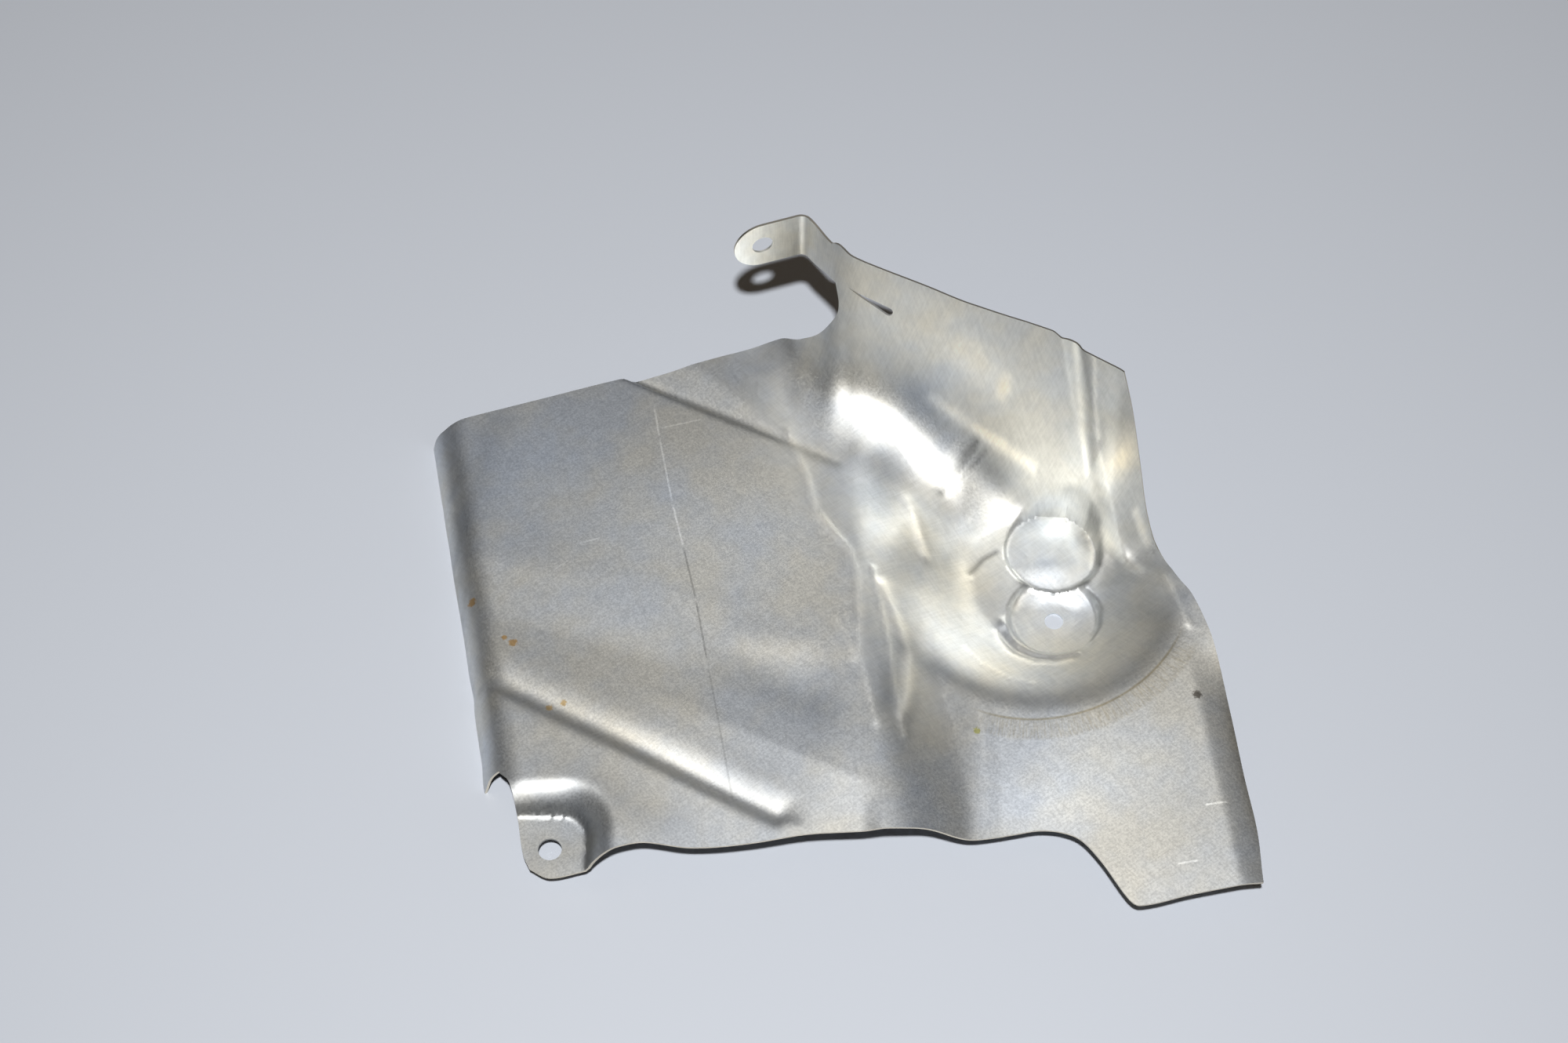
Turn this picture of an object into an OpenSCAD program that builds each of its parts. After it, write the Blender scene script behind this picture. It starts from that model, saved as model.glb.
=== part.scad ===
// Heat shield pressed from one piece of bright sheet, with a rolled left edge,
// a drawn bowl, a tall curved wall and a folded mounting tab.
// The origin is the centre of the pocket hole, on the plane that the shield lies on.
// X runs to the right along the front edge, Y runs back towards the wall, Z is up.

/* [Sheet] */
// Thickness of the sheet
sheet_t = 0.8; // [0.5:0.1:1.2]
// From the pocket hole to the back left corner
reach_left = 206; // [190:1:225]
// From the pocket hole to the right corner
reach_right = 57; // [53:0.5:64]
// From the pocket hole to the front corner
reach_front = 108.8; // [100:0.2:120]
// From the pocket hole to the back of the panel
reach_back = 98.6; // [94:0.2:106]

/* [Panel] */
// Height of the panel beside the rolled left edge
panel_h = 14; // [13:0.5:18]
// Rise of the panel from its left edge to the step
panel_rise = 10.5; // [7:0.5:14]
// Height of the low panel in front of the bowl
low_h = 13.4; // [11:0.2:15]
// Fall of the facet along the front edge
front_fall = 5; // [2:0.5:6]
// Bend radius of the rolled left edge
roll_r = 12; // [10:0.5:13]
// Angle at which the rolled edge comes down
roll_angle = 75; // [60:1:80]
// Slope of the strip along the right edge
edge_slope = 0.34; // [0:0.01:0.4]

/* [Beads] */
// Depth of the long groove
groove_d = 2.6; // [1:0.2:3.4]
// Half width of the long groove
groove_w = 2.9; // [2.4:0.1:4]
// Depth of the tapered groove where it leaves the back edge
taper_d = 3.6; // [1:0.2:4.6]

/* [Bowl] */
// Height of the bowl's bottom
bowl_h = 4.8; // [3.6:0.2:6]
// Radius of the round seat
seat_r = 15.7; // [13:0.1:17]
// Height of the round seat
seat_h = 2.4; // [1.6:0.2:3.4]
// Height of the dome in the seat
seat_dome = 1.4; // [0:0.1:2]
// Radius of the pocket that the shield lies on
pocket_r = 14.8; // [12:0.1:16]
// Height of the crescent ridge beside the pocket
ridge_h = 1.1; // [0:0.1:1.6]

/* [Wall] */
// Height of the wall at its left end
wall_h = 80; // [70:1:90]
// How much lower the wall is at its right end
wall_fall = 11; // [0:1:16]
// Depth of the upright step in the wall
wall_step = 3.4; // [0:0.2:4]
// Tilt of the trough's bed at the foot of the wall, millimetres of rise for each millimetre
trough_tilt = 0.46; // [0.2:0.02:0.6]

/* [Mounting pad] */
// Height of the corner pad
pad_h = 8.6; // [7:0.2:11]
// Diameter of the hole in the corner pad
pad_hole_d = 7.4; // [5:0.1:9]
// Diameter of the hole in the pocket
pocket_hole_d = 6.2; // [4:0.1:8]

/* [Tab] */
// Height of the folded tab
tab_h = 19.5; // [16:0.5:24]
// From the fold to the middle of the tab hole
tab_reach = 14.5; // [12:0.5:22]
// Angle of the fold between the strip and the tab
tab_turn = 69; // [50:1:90]
// Inside radius of the fold
fold_r = 3.2; // [1.6:0.1:4]
// How far the tab stands over the top of the wall
tab_over = 1.5; // [-2:0.5:4]
// Diameter of the hole in the tab
tab_hole_d = 7.2; // [5:0.1:9]

/* [Slit] */
// Length of the slit in the wall
slit_len = 17; // [8:0.5:20]
// Width of the slit at its round end
slit_w = 2.6; // [1:0.1:3.4]

/* [Hidden] */
$fn = 48;

// Grid of the sheet: breaks along the width and how many columns lie between them, with the
// narrowest ones across the seat and the pocket
col_breaks = [0, 0.4, 0.55, 0.6, 0.66, 0.9, 1];
col_counts = [20, 8, 3, 4, 17, 5];
// Breaks along the depth and how many rows lie between them: the roll starts at the first
// one and the wall at the last
row_breaks = [0, 0.19, 0.44, 0.8, 1];
row_counts = [5, 7, 20, 13];

// Front edge from the corner pad to the right corner: x, y
FRONT = [
    [-168, -94], [-162, -97], [-152, -95], [-146, -93], [-138, -90.5], [-132, -89.7],
    [-118, -91.5], [-100, -90.5], [-82, -88.3], [-62, -88], [-54, -87.6], [-44, -86.4],
    [-32, -87], [-18, -84.6], [-10, -83.3], [-3, -84.2], [2.5, -87], [8, -94],
    [15.5, -106.5], [19, -108.8], [35, -105.5], [57, -101.5]];

// Back edge, notch, strip seam and wall top: share of the width, x, y
BACK = [
    [0, -206, 71], [0.02, -200, 73], [0.12, -173, 80], [0.215, -148, 86.5], [0.26, -136, 88.8],
    [0.3, -124.5, 91], [0.34, -109, 95.2], [0.41, -91, 98.6], [0.44, -84, 93.8],
    [0.465, -79, 90.1], [0.49, -74.8, 87], [0.51, -71.9, 86.4], [0.53, -71.3, 87.7],
    [0.55, -72.4, 90.8], [0.598, -73.9, 96.6], [0.6, -74, 96.9], [0.602, -73.5, 96.4],
    [0.63, -67.2, 91.1], [0.67, -58.6, 87.3], [0.74, -43, 81], [0.8, -29, 75.2],
    [0.9, -3, 66.8], [0.912, 0, 65.2], [0.92, 1.6, 64.1], [0.93, 4.3, 61.6],
    [0.94, 6.5, 59.6], [0.95, 8.8, 58.2], [0.98, 15, 54.5], [1, 19.4, 51.5]];

// Line across the sheet that runs along the foot of the wall: share of the width, x, y
FOOT = [
    [0, -199.2, 38.2], [0.12, -164, 49], [0.26, -124, 62], [0.35, -98, 70], [0.41, -83, 71],
    [0.44, -76, 66], [0.49, -65, 57], [0.53, -56.5, 51], [0.55, -52.5, 48], [0.6, -42.5, 42.5],
    [0.67, -29, 39.5], [0.74, -16, 40], [0.8, -6, 41.5], [0.9, 12, 39.5], [0.95, 21, 32.5],
    [1, 33.6, 19]];

// Left edge from the corner pad over the notch and along the roll: share of the depth, x, y
LEFT = [
    [0, -168, -94], [0.03, -170.3, -89], [0.12, -173, -75], [0.165, -175.5, -67],
    [0.19, -179, -62.5], [0.25, -180.5, -52], [1, -206, 71]];

// Right edge from the front corner to the wall's top corner: share of the depth, x, y
RIGHT = [
    [0, 57, -101.5], [0.1, 57, -84.5], [0.245, 54.7, -65.5], [0.43, 52, -39.4],
    [0.57, 48.9, -19.3], [0.64, 46.4, -9.8], [0.7, 43, 0], [0.73, 40, 5.6],
    [0.77, 36.5, 13], [0.8, 33.6, 19], [0.83, 31.2, 24], [0.87, 29, 29],
    [0.91, 26.6, 35.5], [0.96, 23, 44.5], [1, 19.4, 51.5]];

// The wall for each x: where its top lies in y (carried on past both ends), how steep it is
// in its upper part, and how softly it bends out of the floor
WALL = [
    [-215, 420, 3.4, 20], [-115, 205, 3.4, 20], [-100, 166, 3.4, 20], [-90, 138, 3.4, 20],
    [-84, 120, 3.4, 20], [-79, 108, 3.4, 18], [-74, 97, 3.4, 15], [-67.2, 91, 3.4, 12],
    [-58.6, 87.3, 3.3, 11], [-43, 81, 3.1, 12], [-29, 75.2, 3.1, 13], [-14, 70.3, 3, 13],
    [-3, 66.8, 2.9, 12], [4, 64.2, 2.9, 11], [10, 60.9, 3, 10], [15, 57.9, 3.1, 9],
    [19.4, 54.9, 3.1, 9], [27, 51.6, 3.1, 9], [34, 48.4, 3.1, 8], [60, 35.4, 3.1, 8]];

// The bowl for each direction in degrees: radii of the foot and the rim of its side, the
// share of the rise in that side, and the share in a slow rise beyond it
BOWL = [
    [0, 27, 57, 1, 0], [20, 28, 55, 0.7, 0], [50, 30, 50, 0.1, 0], [75, 30, 46, 0.05, 0],
    [95, 31, 46, 0.25, 0.05], [115, 32, 46, 0.4, 0.3], [135, 32, 46, 0.48, 0.52],
    [150, 31, 46, 0.6, 0.4], [170, 28, 47, 0.9, 0.1], [190, 26, 48, 1, 0], [225, 25, 51, 1, 0],
    [270, 26, 53, 1, 0], [315, 27, 55, 1, 0], [360, 27, 57, 1, 0]];

// The trough for each x: where its tilted bed begins in y, and the share of the tilt there
TROUGH = [
    [-215, 90, 0], [-104, 88, 0], [-92, 76, 0.17], [-82, 61, 0.7], [-75, 55, 0.93],
    [-66, 50.5, 1], [-50, 45.5, 1], [-40, 43.5, 1], [-31, 43.5, 0.87], [-24, 45, 0.35],
    [-16, 47, 0.04], [-10, 48, 0], [60, 48, 0]];

// How far the outline is drawn from the pocket hole: to the left, right, front and back
drawn_left = -BACK[0][1];
drawn_right = RIGHT[0][1];
drawn_front = -min([for (p = FRONT) p[1]]);
drawn_back = max([for (p = BACK) p[2]]);

// Ends of the creases and grooves on the panel
crease_a = [[-191.6, 15], [-76, -24]];
crease_b = [[-116, -45], [-65, -71]];
groove = [[-186, -28.5], [-91.5, -81.5]];
taper_low = [[-147, 88], [-70.6, 46]];
taper_high = [[-122, 92], [-70.6, 46]];
roll_edge = [[-184.3, -61.7], [-211.2, 75.2]];
right_edge = [[58, -101], [47, -14]];
// Distance from the seam of the rolled edge to the edge seen from above
roll_w = 12.8;
// Width of the sloping strip along the right edge
edge_w = 14;

bowl_at = [-8, 10];
seat_at = [0.6, 25.4];
// Height of the wall as the tables above draw it
drawn_wall_h = 80;

// Slopes of the facet, the low panel, the column beside it, the bowl's floor and the seat, and
// how early the side of the bowl climbs
facet_slope = 0.11;
low_rise_x = 0.055;
low_rise_y = 0.04;
column_slope = 0.11;
bowl_floor_slope = 0.08;
seat_rise = 0.05;
bowl_climb = 0.78;
// Where the upright step leaves the wall's top, and how far it leans for each millimetre of y
wall_step_at = [2.7, 63];
wall_step_lean = 0.46;
// Half width of the rounded step around the seat and the pocket
soft_rim = 2;
pad_at = [-162, -87.4];
// Inner corner of the corner pad
pad_corner = [-158.5, -84];
pad_corner_r = 9;

// Strip between the wall and the tab: where the fold is and how it heads
fold_at = [-82.7, 106.8];
strip_turn = 129.5;
tab_end_r = tab_h / 2;
tab_z = wall_h + tab_over - tab_h;
tab_mid = tab_z + tab_end_r;
tab_heading = strip_turn + tab_turn;
tab_dir = [cos(tab_heading), sin(tab_heading)];
fold_tan = fold_r * tan(tab_turn / 2);

// Middle of the slit, how the wall faces there, and how far the slit slopes down the wall
slit_at = [-61.1, 84.1];
wall_turn = -23;
wall_lean = 75;
slit_dip = -15.5;

function clamp(t) = max(0, min(1, t));
function ease(a, b, t) = let (s = clamp((t - a) / (b - a))) s * s * (3 - 2 * s);
function mix(a, b, t) = a * (1 - t) + b * t;
function unit(v) = v / norm(v);

// Stretches a point of the drawn outline to the reaches asked for
function place(p) = [
    p[0] * (p[0] < 0 ? reach_left / drawn_left : reach_right / drawn_right),
    p[1] * (p[1] < 0 ? reach_front / drawn_front : reach_back / drawn_back)];

// Smooth curve through rows of [parameter, x, y, ...]
function rate(T, i) = let (a = max(0, i - 1), b = min(len(T) - 1, i + 1))
    (T[b] - T[a]) / (T[b][0] - T[a][0]);
function knot(T, t) = max([0, for (i = [0:len(T) - 2]) if (T[i][0] <= t) i]);
function on_curve(T, t) = let (
    i = knot(T, t),
    h = T[i + 1][0] - T[i][0],
    s = (t - T[i][0]) / h)
    (2 * s * s * s - 3 * s * s + 1) * T[i] + (s * s * s - 2 * s * s + s) * h * rate(T, i)
    + (3 * s * s - 2 * s * s * s) * T[i + 1] + (s * s * s - s * s) * h * rate(T, i + 1);
function along(T, t) = let (row = on_curve(T, t)) [row[1], row[2]];

// Even steps between the breaks
function steps(breaks, counts) = concat(
    [for (b = [0:len(counts) - 1]) each [for (k = [0:counts[b] - 1])
        mix(breaks[b], breaks[b + 1], k / counts[b])]],
    [1]);

// Distance from p to the stretch a-b, and how far left of the line through a and b it lies
function reach_to(p, a, b) = let (d = b - a, t = clamp((p - a) * d / (d * d)))
    norm(p - a - t * d);
function left_of(p, a, b) = let (d = b - a) (d[0] * (p[1] - a[1]) - d[1] * (p[0] - a[0])) / norm(d);

// Height of the big panel at p, a point as drawn: it rises to the right and has two creases
function facet_drop(p) = let (past = max(0, -left_of(p, crease_b[0], crease_b[1])))
    front_fall * (1 - exp(-facet_slope * past / front_fall)) * (1 - ease(-66, -58, p[0]))
    * ease(-150, -100, p[0]);
function crease_drop(p) = let (past = -left_of(p, crease_a[0], crease_a[1]))
    (ease(-2, 20, past) - 1.3 * ease(16, 54, past)) * (1 - ease(-84, -70, p[0]));
function panel_z(p) = panel_h + panel_rise * (p[0] + 200) / 140 - facet_drop(p) - crease_drop(p);

// Low panel, and the column where the big panel steps down to it
function low_z(p) = low_h + low_rise_x * max(p[0] + 9, 0) + low_rise_y * (p[1] + 85)
    + column_slope * max(-p[0] - 22, 0) * (1 - ease(-85, 5, p[1]));
function step_z(p) = let (
    back = ease(-85, 5, p[1]),
    kept = 0.5 * ease(2, 30, p[1]) * (1 - ease(-30, -5, p[0])))
    mix(panel_z(p), low_z(p), ease(-56 - 10 * back, -27 - 17 * back, p[0]) * (1 - kept));

// Bowl, and the trough's bed beside it
function bowl_z(p) = let (
    r = norm(p - bowl_at),
    side = on_curve(BOWL, (atan2(p[1] - bowl_at[1], p[0] - bowl_at[0]) + 360) % 360),
    bottom = bowl_h + bowl_floor_slope * max(r - 26, 0),
    climb = ease(0, 1, pow(clamp((r - side[1]) / (side[2] - side[1])), bowl_climb)))
    mix(bottom, step_z(p), side[3] * climb + side[4] * ease(36, 72, r));
// Nothing below a start, then a straight rise, with a bend of the given softness between them
function soft_rise(t, soft) = soft * ln(1 + exp(min(t / soft, 60)));
function trough_z(p) = let (bed = on_curve(TROUGH, p[0]))
    trough_tilt * bed[2] * soft_rise(p[1] - bed[1], 4);

// Round seat, the pocket under it and the crescent ridge
function ridge_z(p) = let (
    q = place(p),
    turn = (atan2(q[1], q[0]) + 360) % 360,
    off = (norm(q) - pocket_r - 4.2) / 1.8)
    ridge_h * exp(-off * off) * ease(178, 195, turn) * (1 - ease(285, 300, turn));
function from_seat(p) = norm(place(p) - place(seat_at));
function seat_share(p) = 1 - ease(seat_r - soft_rim, seat_r + soft_rim, from_seat(p));
function seat_z(p) = let (off = min(from_seat(p) / seat_r, 1))
    seat_h + seat_rise * (p[1] - seat_at[1] + seat_r) + seat_dome * (1 - off * off);
function pocket_share(p) = (1 - ease(pocket_r - soft_rim, pocket_r + soft_rim, norm(place(p))))
    * (1 - seat_share(p));
function drawn_z(p) = let (seated = mix(bowl_z(p) + ridge_z(p), seat_z(p), seat_share(p)))
    mix(seated, sheet_t, pocket_share(p));

// Corner pad, with a rounded inner corner
function pad_gap(p) = let (d = place(p) - place(pad_corner))
    d[0] < 0 && d[1] < 0 ? max(d[0], d[1]) - pad_corner_r
    : norm([max(d[0], 0), max(d[1], 0)]) - pad_corner_r;
function padded_z(p) = mix(drawn_z(p), pad_h, 1 - ease(-1, 5.5, pad_gap(p)));

// Long groove of even depth, and the groove that tapers from the back edge to a point
function groove_z(p) = let (off = reach_to(place(p), place(groove[0]), place(groove[1])) / groove_w)
    -groove_d * exp(-off * off);
function taper_z(p) = let (
    low = left_of(p, taper_low[0], taper_low[1]),
    high = -left_of(p, taper_high[0], taper_high[1]),
    share = low / max(low + high, 0.01),
    far = norm(p - taper_low[1]) / 85)
    low > 0 && high > 0 && p[0] < -60 ? -taper_d * clamp(far + 0.15) * (1 - share) * ease(0, 0.3, share)
    : 0;

// The left edge rolls down and the strip along the right edge slopes
function roll_in(p) = -left_of(place(p), place(roll_edge[0]), place(roll_edge[1]));
function roll_drop(p) = let (s = max(0, min(sin(roll_angle), (roll_w - roll_in(p)) / roll_r)))
    roll_r * (1 - sqrt(1 - s * s)) * ease(-76, -62, p[1]);
function right_drop(p) = let (near = max(0, edge_w - reach_to(p, right_edge[0], right_edge[1])))
    p[0] > 35 ? edge_slope * near * near / (near + 3) * ease(-112, -96, p[1]) : 0;
function floor_z(p) = padded_z(p) + groove_z(p) + taper_z(p) + trough_z(p) - roll_drop(p) - right_drop(p);

// Height of the sheet: the floor, and the wall that bends up out of it outside the seat
function wall_top(p) = wall_h - wall_fall * ease(-95, 35, p[0]);
function past_step(p) = p[0] - wall_step_at[0] - wall_step_lean * (wall_step_at[1] - p[1]);
function sheet_z(p) = let (
    z = floor_z(p),
    row = on_curve(WALL, p[0]),
    tall = wall_h / drawn_wall_h,
    high = max(wall_top(p) - z, 1) / tall,
    top_y = row[1] - wall_step * ease(-3, 3, past_step(p)),
    lift = soft_rise(row[2] * (p[1] - top_y) + high, row[3]),
    outside = ease(seat_r - 1.5, seat_r + 1, from_seat(p)))
    z + tall * lift * outside * high / soft_rise(high, row[3]);

// Columns and rows of the grid, and the lines that it is stretched between
cols = steps(col_breaks, col_counts);
rows = steps(row_breaks, row_counts);
nc = len(cols) - 1;
nr = len(rows) - 1;
foot_row = nr - row_counts[3];
foot_v = row_breaks[3];
function front_share(p) = (p[0] - FRONT[0][0]) / (FRONT[len(FRONT) - 1][0] - FRONT[0][0]);
front_rows = [for (p = FRONT) concat(front_share(p), p)];
front_line = [for (u = cols) along(front_rows, u)];
foot_line = [for (u = cols) along(FOOT, u)];
back_line = [for (u = cols) along(BACK, u)];
left_line = [for (v = rows) along(LEFT, v)];
right_line = [for (v = rows) along(RIGHT, v)];

// Point of the grid between two lines across the sheet, a share t of the way, with the
// side edges followed exactly
function between(A, B, i, j, t) = let (u = cols[i])
    mix(A[i], B[i], t) + mix(left_line[j], right_line[j], u)
    - mix(mix(A[0], A[nc], u), mix(B[0], B[nc], u), t);
function spot(i, j) = j <= foot_row
    ? between(front_line, foot_line, i, j, rows[j] / foot_v)
    : between(foot_line, back_line, i, j, (rows[j] - foot_v) / (1 - foot_v));
function lifted(p) = concat(place(p), sheet_z(p));
sheet_top = [for (j = [0:nr]) [for (i = [0:nc]) lifted(spot(i, j))]];

// Grid of points a sheet thickness behind the face, measured square to it
function normal_at(G, j, i) = let (nj = len(G) - 1, ni = len(G[0]) - 1)
    unit(cross(G[j][min(i + 1, ni)] - G[j][max(i - 1, 0)], G[min(j + 1, nj)][i] - G[max(j - 1, 0)][i]));
function behind(G) = [for (j = [0:len(G) - 1]) [for (i = [0:len(G[0]) - 1])
    G[j][i] - sheet_t * normal_at(G, j, i)]];

// Rolled edge: one row for each row of the sheet above the notch, from the sheet outwards
roll_row = row_counts[0];
roll_out = let (d = unit(place(roll_edge[1]) - place(roll_edge[0]))) [-d[1], d[0]];
roll_start = asin((roll_w - roll_in([-179, -62.5])) / roll_r);
roll_foot = sheet_t * cos(roll_angle) + 0.02;
roll_steps = 4;
function roll_point(p, k) = let (
    a = mix(roll_start, roll_angle, min(k, 3) / 3),
    out = roll_r * (sin(a) - sin(roll_start)),
    z = p[2] - roll_r * (cos(roll_start) - cos(a)),
    left = k > 3 ? z - roll_foot : 0)
    [p[0] + roll_out[0] * (out + left / tan(roll_angle)),
     p[1] + roll_out[1] * (out + left / tan(roll_angle)), z - left];
roll_top = [for (j = [roll_row:nr]) [for (k = [roll_steps:-1:0]) roll_point(sheet_top[j][0], k)]];

// Strip and tab: rows that leave the seam, round the fold and end in a half circle
seam_a = col_counts[0] + col_counts[1];
seam_b = seam_a + col_counts[2];
seam_low = sheet_top[nr][seam_a];
seam_high = sheet_top[nr][seam_b];
strip_dir = [cos(strip_turn), sin(strip_turn)];
fold_start = place(fold_at) - fold_tan * strip_dir;
fold_side = [-strip_dir[1], strip_dir[0]];
function fold_point(a) = fold_start + fold_r * (sin(a) * strip_dir + (1 - cos(a)) * fold_side);
function flat_of(p) = [p[0], p[1]];
function tab_point(s) = place(fold_at) + s * tab_dir;
strip_rows = [for (t = [1:3]) let (s = t / 4) [
    concat(mix(flat_of(seam_low), fold_start, s), mix(seam_low[2], tab_z, ease(0, 1, s))),
    concat(mix(flat_of(seam_high), fold_start, s), mix(seam_high[2], tab_z + tab_h, ease(0, 1, s)))]];
fold_rows = [for (t = [0:4]) let (p = fold_point(tab_turn * t / 4))
    [concat(p, tab_z), concat(p, tab_z + tab_h)]];
flat_rows = [for (t = [1:3]) let (p = tab_point(mix(fold_tan, tab_reach, t / 3)))
    [concat(p, tab_z), concat(p, tab_z + tab_h)]];
round_rows = [for (a = [18, 36, 52, 66, 78]) let (p = tab_point(tab_reach + tab_end_r * sin(a)))
    [concat(p, tab_mid - tab_end_r * cos(a)), concat(p, tab_mid + tab_end_r * cos(a))]];
tab_ends = concat(strip_rows, fold_rows, flat_rows, round_rows);
seam_n = seam_b - seam_a;
strip_top = concat([[for (i = [seam_a:seam_b]) sheet_top[nr][i]]],
    [for (r = tab_ends) [for (k = [0:seam_n]) mix(r[0], r[1], k / seam_n)]]);

// All points of the face, then all points behind it: sheet, rolled edge, strip
sheet_n = (nc + 1) * (nr + 1);
roll_n = roll_steps * len(roll_top);
strip_n = (seam_n + 1) * (len(strip_top) - 1);
face_n = sheet_n + roll_n + strip_n;
function flat(G) = [for (row = G) each row];
function face_points(S, R, T) = concat(flat(S),
    [for (row = R) each [for (k = [0:roll_steps - 1]) row[k]]],
    [for (m = [1:len(T) - 1]) each T[m]]);
all_points = concat(face_points(sheet_top, roll_top, strip_top),
    face_points(behind(sheet_top), behind(roll_top), behind(strip_top)));

// Numbers of the grid points; the roll and the strip share their first line with the sheet
function s_id(i, j) = j * (nc + 1) + i;
function r_id(k, j) = k == roll_steps ? s_id(0, j + roll_row) : sheet_n + j * roll_steps + k;
function t_id(k, m) = m == 0 ? s_id(seam_a + k, nr) : sheet_n + roll_n + (m - 1) * (seam_n + 1) + k;
function two(a, b, c, d) = [[a, d, b], [b, d, c]];
// Round the bowl the two triangles share the more level diagonal, so that its steps are smooth
bowl_col = nc - col_counts[5] - col_counts[4];
function level_two(a, b, c, d) = let (P = all_points)
    abs(P[a][2] - P[c][2]) < abs(P[b][2] - P[d][2]) ? [[a, c, b], [a, d, c]] : two(a, b, c, d);
cells = concat(
    [for (j = [0:nr - 1]) for (i = [0:bowl_col - 1]) each
        two(s_id(i, j), s_id(i + 1, j), s_id(i + 1, j + 1), s_id(i, j + 1))],
    [for (j = [0:nr - 1]) for (i = [bowl_col:nc - 1]) each
        level_two(s_id(i, j), s_id(i + 1, j), s_id(i + 1, j + 1), s_id(i, j + 1))],
    [for (j = [0:nr - roll_row - 1]) for (k = [0:roll_steps - 1]) each
        two(r_id(k, j), r_id(k + 1, j), r_id(k + 1, j + 1), r_id(k, j + 1))],
    [for (m = [0:len(strip_top) - 2]) for (k = [0:seam_n - 1]) each
        two(t_id(k, m), t_id(k + 1, m), t_id(k + 1, m + 1), t_id(k, m + 1))]);

// The free edge, walked once round with the sheet on its left
last_m = len(strip_top) - 1;
last_j = nr - roll_row;
rim = concat(
    [for (i = [0:nc]) s_id(i, 0)],
    [for (j = [1:nr]) s_id(nc, j)],
    [for (i = [nc - 1:-1:seam_b]) s_id(i, nr)],
    [for (m = [1:last_m]) t_id(seam_n, m)],
    [for (k = [seam_n - 1:-1:0]) t_id(k, last_m)],
    [for (m = [last_m - 1:-1:0]) t_id(0, m)],
    [for (i = [seam_a - 1:-1:0]) s_id(i, nr)],
    [for (k = [roll_steps - 1:-1:0]) r_id(k, last_j)],
    [for (j = [last_j - 1:-1:0]) r_id(0, j)],
    [for (k = [1:roll_steps]) r_id(k, 0)],
    [for (j = [roll_row - 1:-1:1]) s_id(0, j)]);
edge_faces = [for (k = [0:len(rim) - 1]) let (a = rim[k], b = rim[(k + 1) % len(rim)]) each
    two(b, a, a + face_n, b + face_n)];

module bare_sheet() {
    polyhedron(
        points = all_points,
        faces = concat(
            cells,
            [for (f = cells) [f[2] + face_n, f[1] + face_n, f[0] + face_n]],
            edge_faces),
        convexity = 8);
}

// Round hole through the sheet, square to it
module hole(d) {
    cylinder(d = d, h = 8, center = true);
}

// Slit with a round right end that tapers to a point on the left, high on the wall
module slit() {
    round_x = slit_len / 2 - slit_w / 2;
    outline = concat(
        [[-slit_len / 2, 0]],
        [for (a = [-100:20:100]) [round_x + slit_w / 2 * cos(a), slit_w / 2 * sin(a)]]);
    translate(lifted(slit_at))
        rotate([0, 0, wall_turn]) rotate([wall_lean, 0, 0]) rotate([0, 0, slit_dip])
            linear_extrude(height = 8, center = true) polygon(outline);
}

module pressed_shield() {
    color("silver") difference() {
        bare_sheet();
        translate(concat(place(pad_at), pad_h)) hole(pad_hole_d);
        hole(pocket_hole_d);
        translate(concat(tab_point(tab_reach), tab_mid))
            rotate([0, 0, tab_heading]) rotate([90, 0, 0]) hole(tab_hole_d);
        slit();
    }
}

pressed_shield();
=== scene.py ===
"""Looks of a pressed sheet-metal heat shield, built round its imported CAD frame.

The shield is one piece: a fine grid is pressed to shape, its left edge is rolled down, a strip
is drawn out of the wall and folded into a tab, and the sheet then gets its thickness and holes.
Lengths are in millimetres until they reach a mesh or a node.
"""
import math

import bmesh
import bpy
import numpy as np
from mathutils import Matrix, Vector


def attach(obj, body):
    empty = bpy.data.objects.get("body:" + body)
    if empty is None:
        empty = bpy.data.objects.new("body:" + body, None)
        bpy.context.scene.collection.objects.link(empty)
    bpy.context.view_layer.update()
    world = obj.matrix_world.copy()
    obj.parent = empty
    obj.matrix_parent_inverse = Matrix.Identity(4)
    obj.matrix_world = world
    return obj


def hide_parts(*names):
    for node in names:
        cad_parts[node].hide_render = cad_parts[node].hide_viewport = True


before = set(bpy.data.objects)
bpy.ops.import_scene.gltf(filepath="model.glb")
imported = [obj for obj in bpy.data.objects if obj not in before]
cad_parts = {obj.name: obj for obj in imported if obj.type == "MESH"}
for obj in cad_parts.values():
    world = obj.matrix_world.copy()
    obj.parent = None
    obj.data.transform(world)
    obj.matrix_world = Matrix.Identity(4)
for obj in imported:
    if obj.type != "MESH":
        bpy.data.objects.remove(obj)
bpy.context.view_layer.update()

MM = 0.001

# Sizes and places are measured from the middle of the pocket's hole. A name that ends in _SPAN
# holds the start and the end of a soft change, in millimetres or, round a middle, in degrees.
SHEET_T = 0.8
# Large panel: height at its left, rise to the right, and the crease across it that springs back
PANEL_H, PANEL_RISE, PANEL_LEFT, PANEL_W = 14.0, 10.5, -200, 140
CREASE_SPAN, REBOUND, REBOUND_SPAN, CREASE_END_SPAN = (-2, 20), 1.3, (16, 54), (-84, -70)
# Facet along its front edge: how far and how steeply it falls, and where it begins and ends
FRONT_FALL, FACET_SLOPE, FACET_START_SPAN, FACET_END_SPAN = 5.0, 0.11, (-150, -100), (-66, -58)
# Low panel: height, rise to the right and to the back, and where these begin
LOW_H, LOW_RISE_X, LOW_RISE_Y, LOW_AT = 13.4, 0.055, 0.04, (-9, -85)
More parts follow.
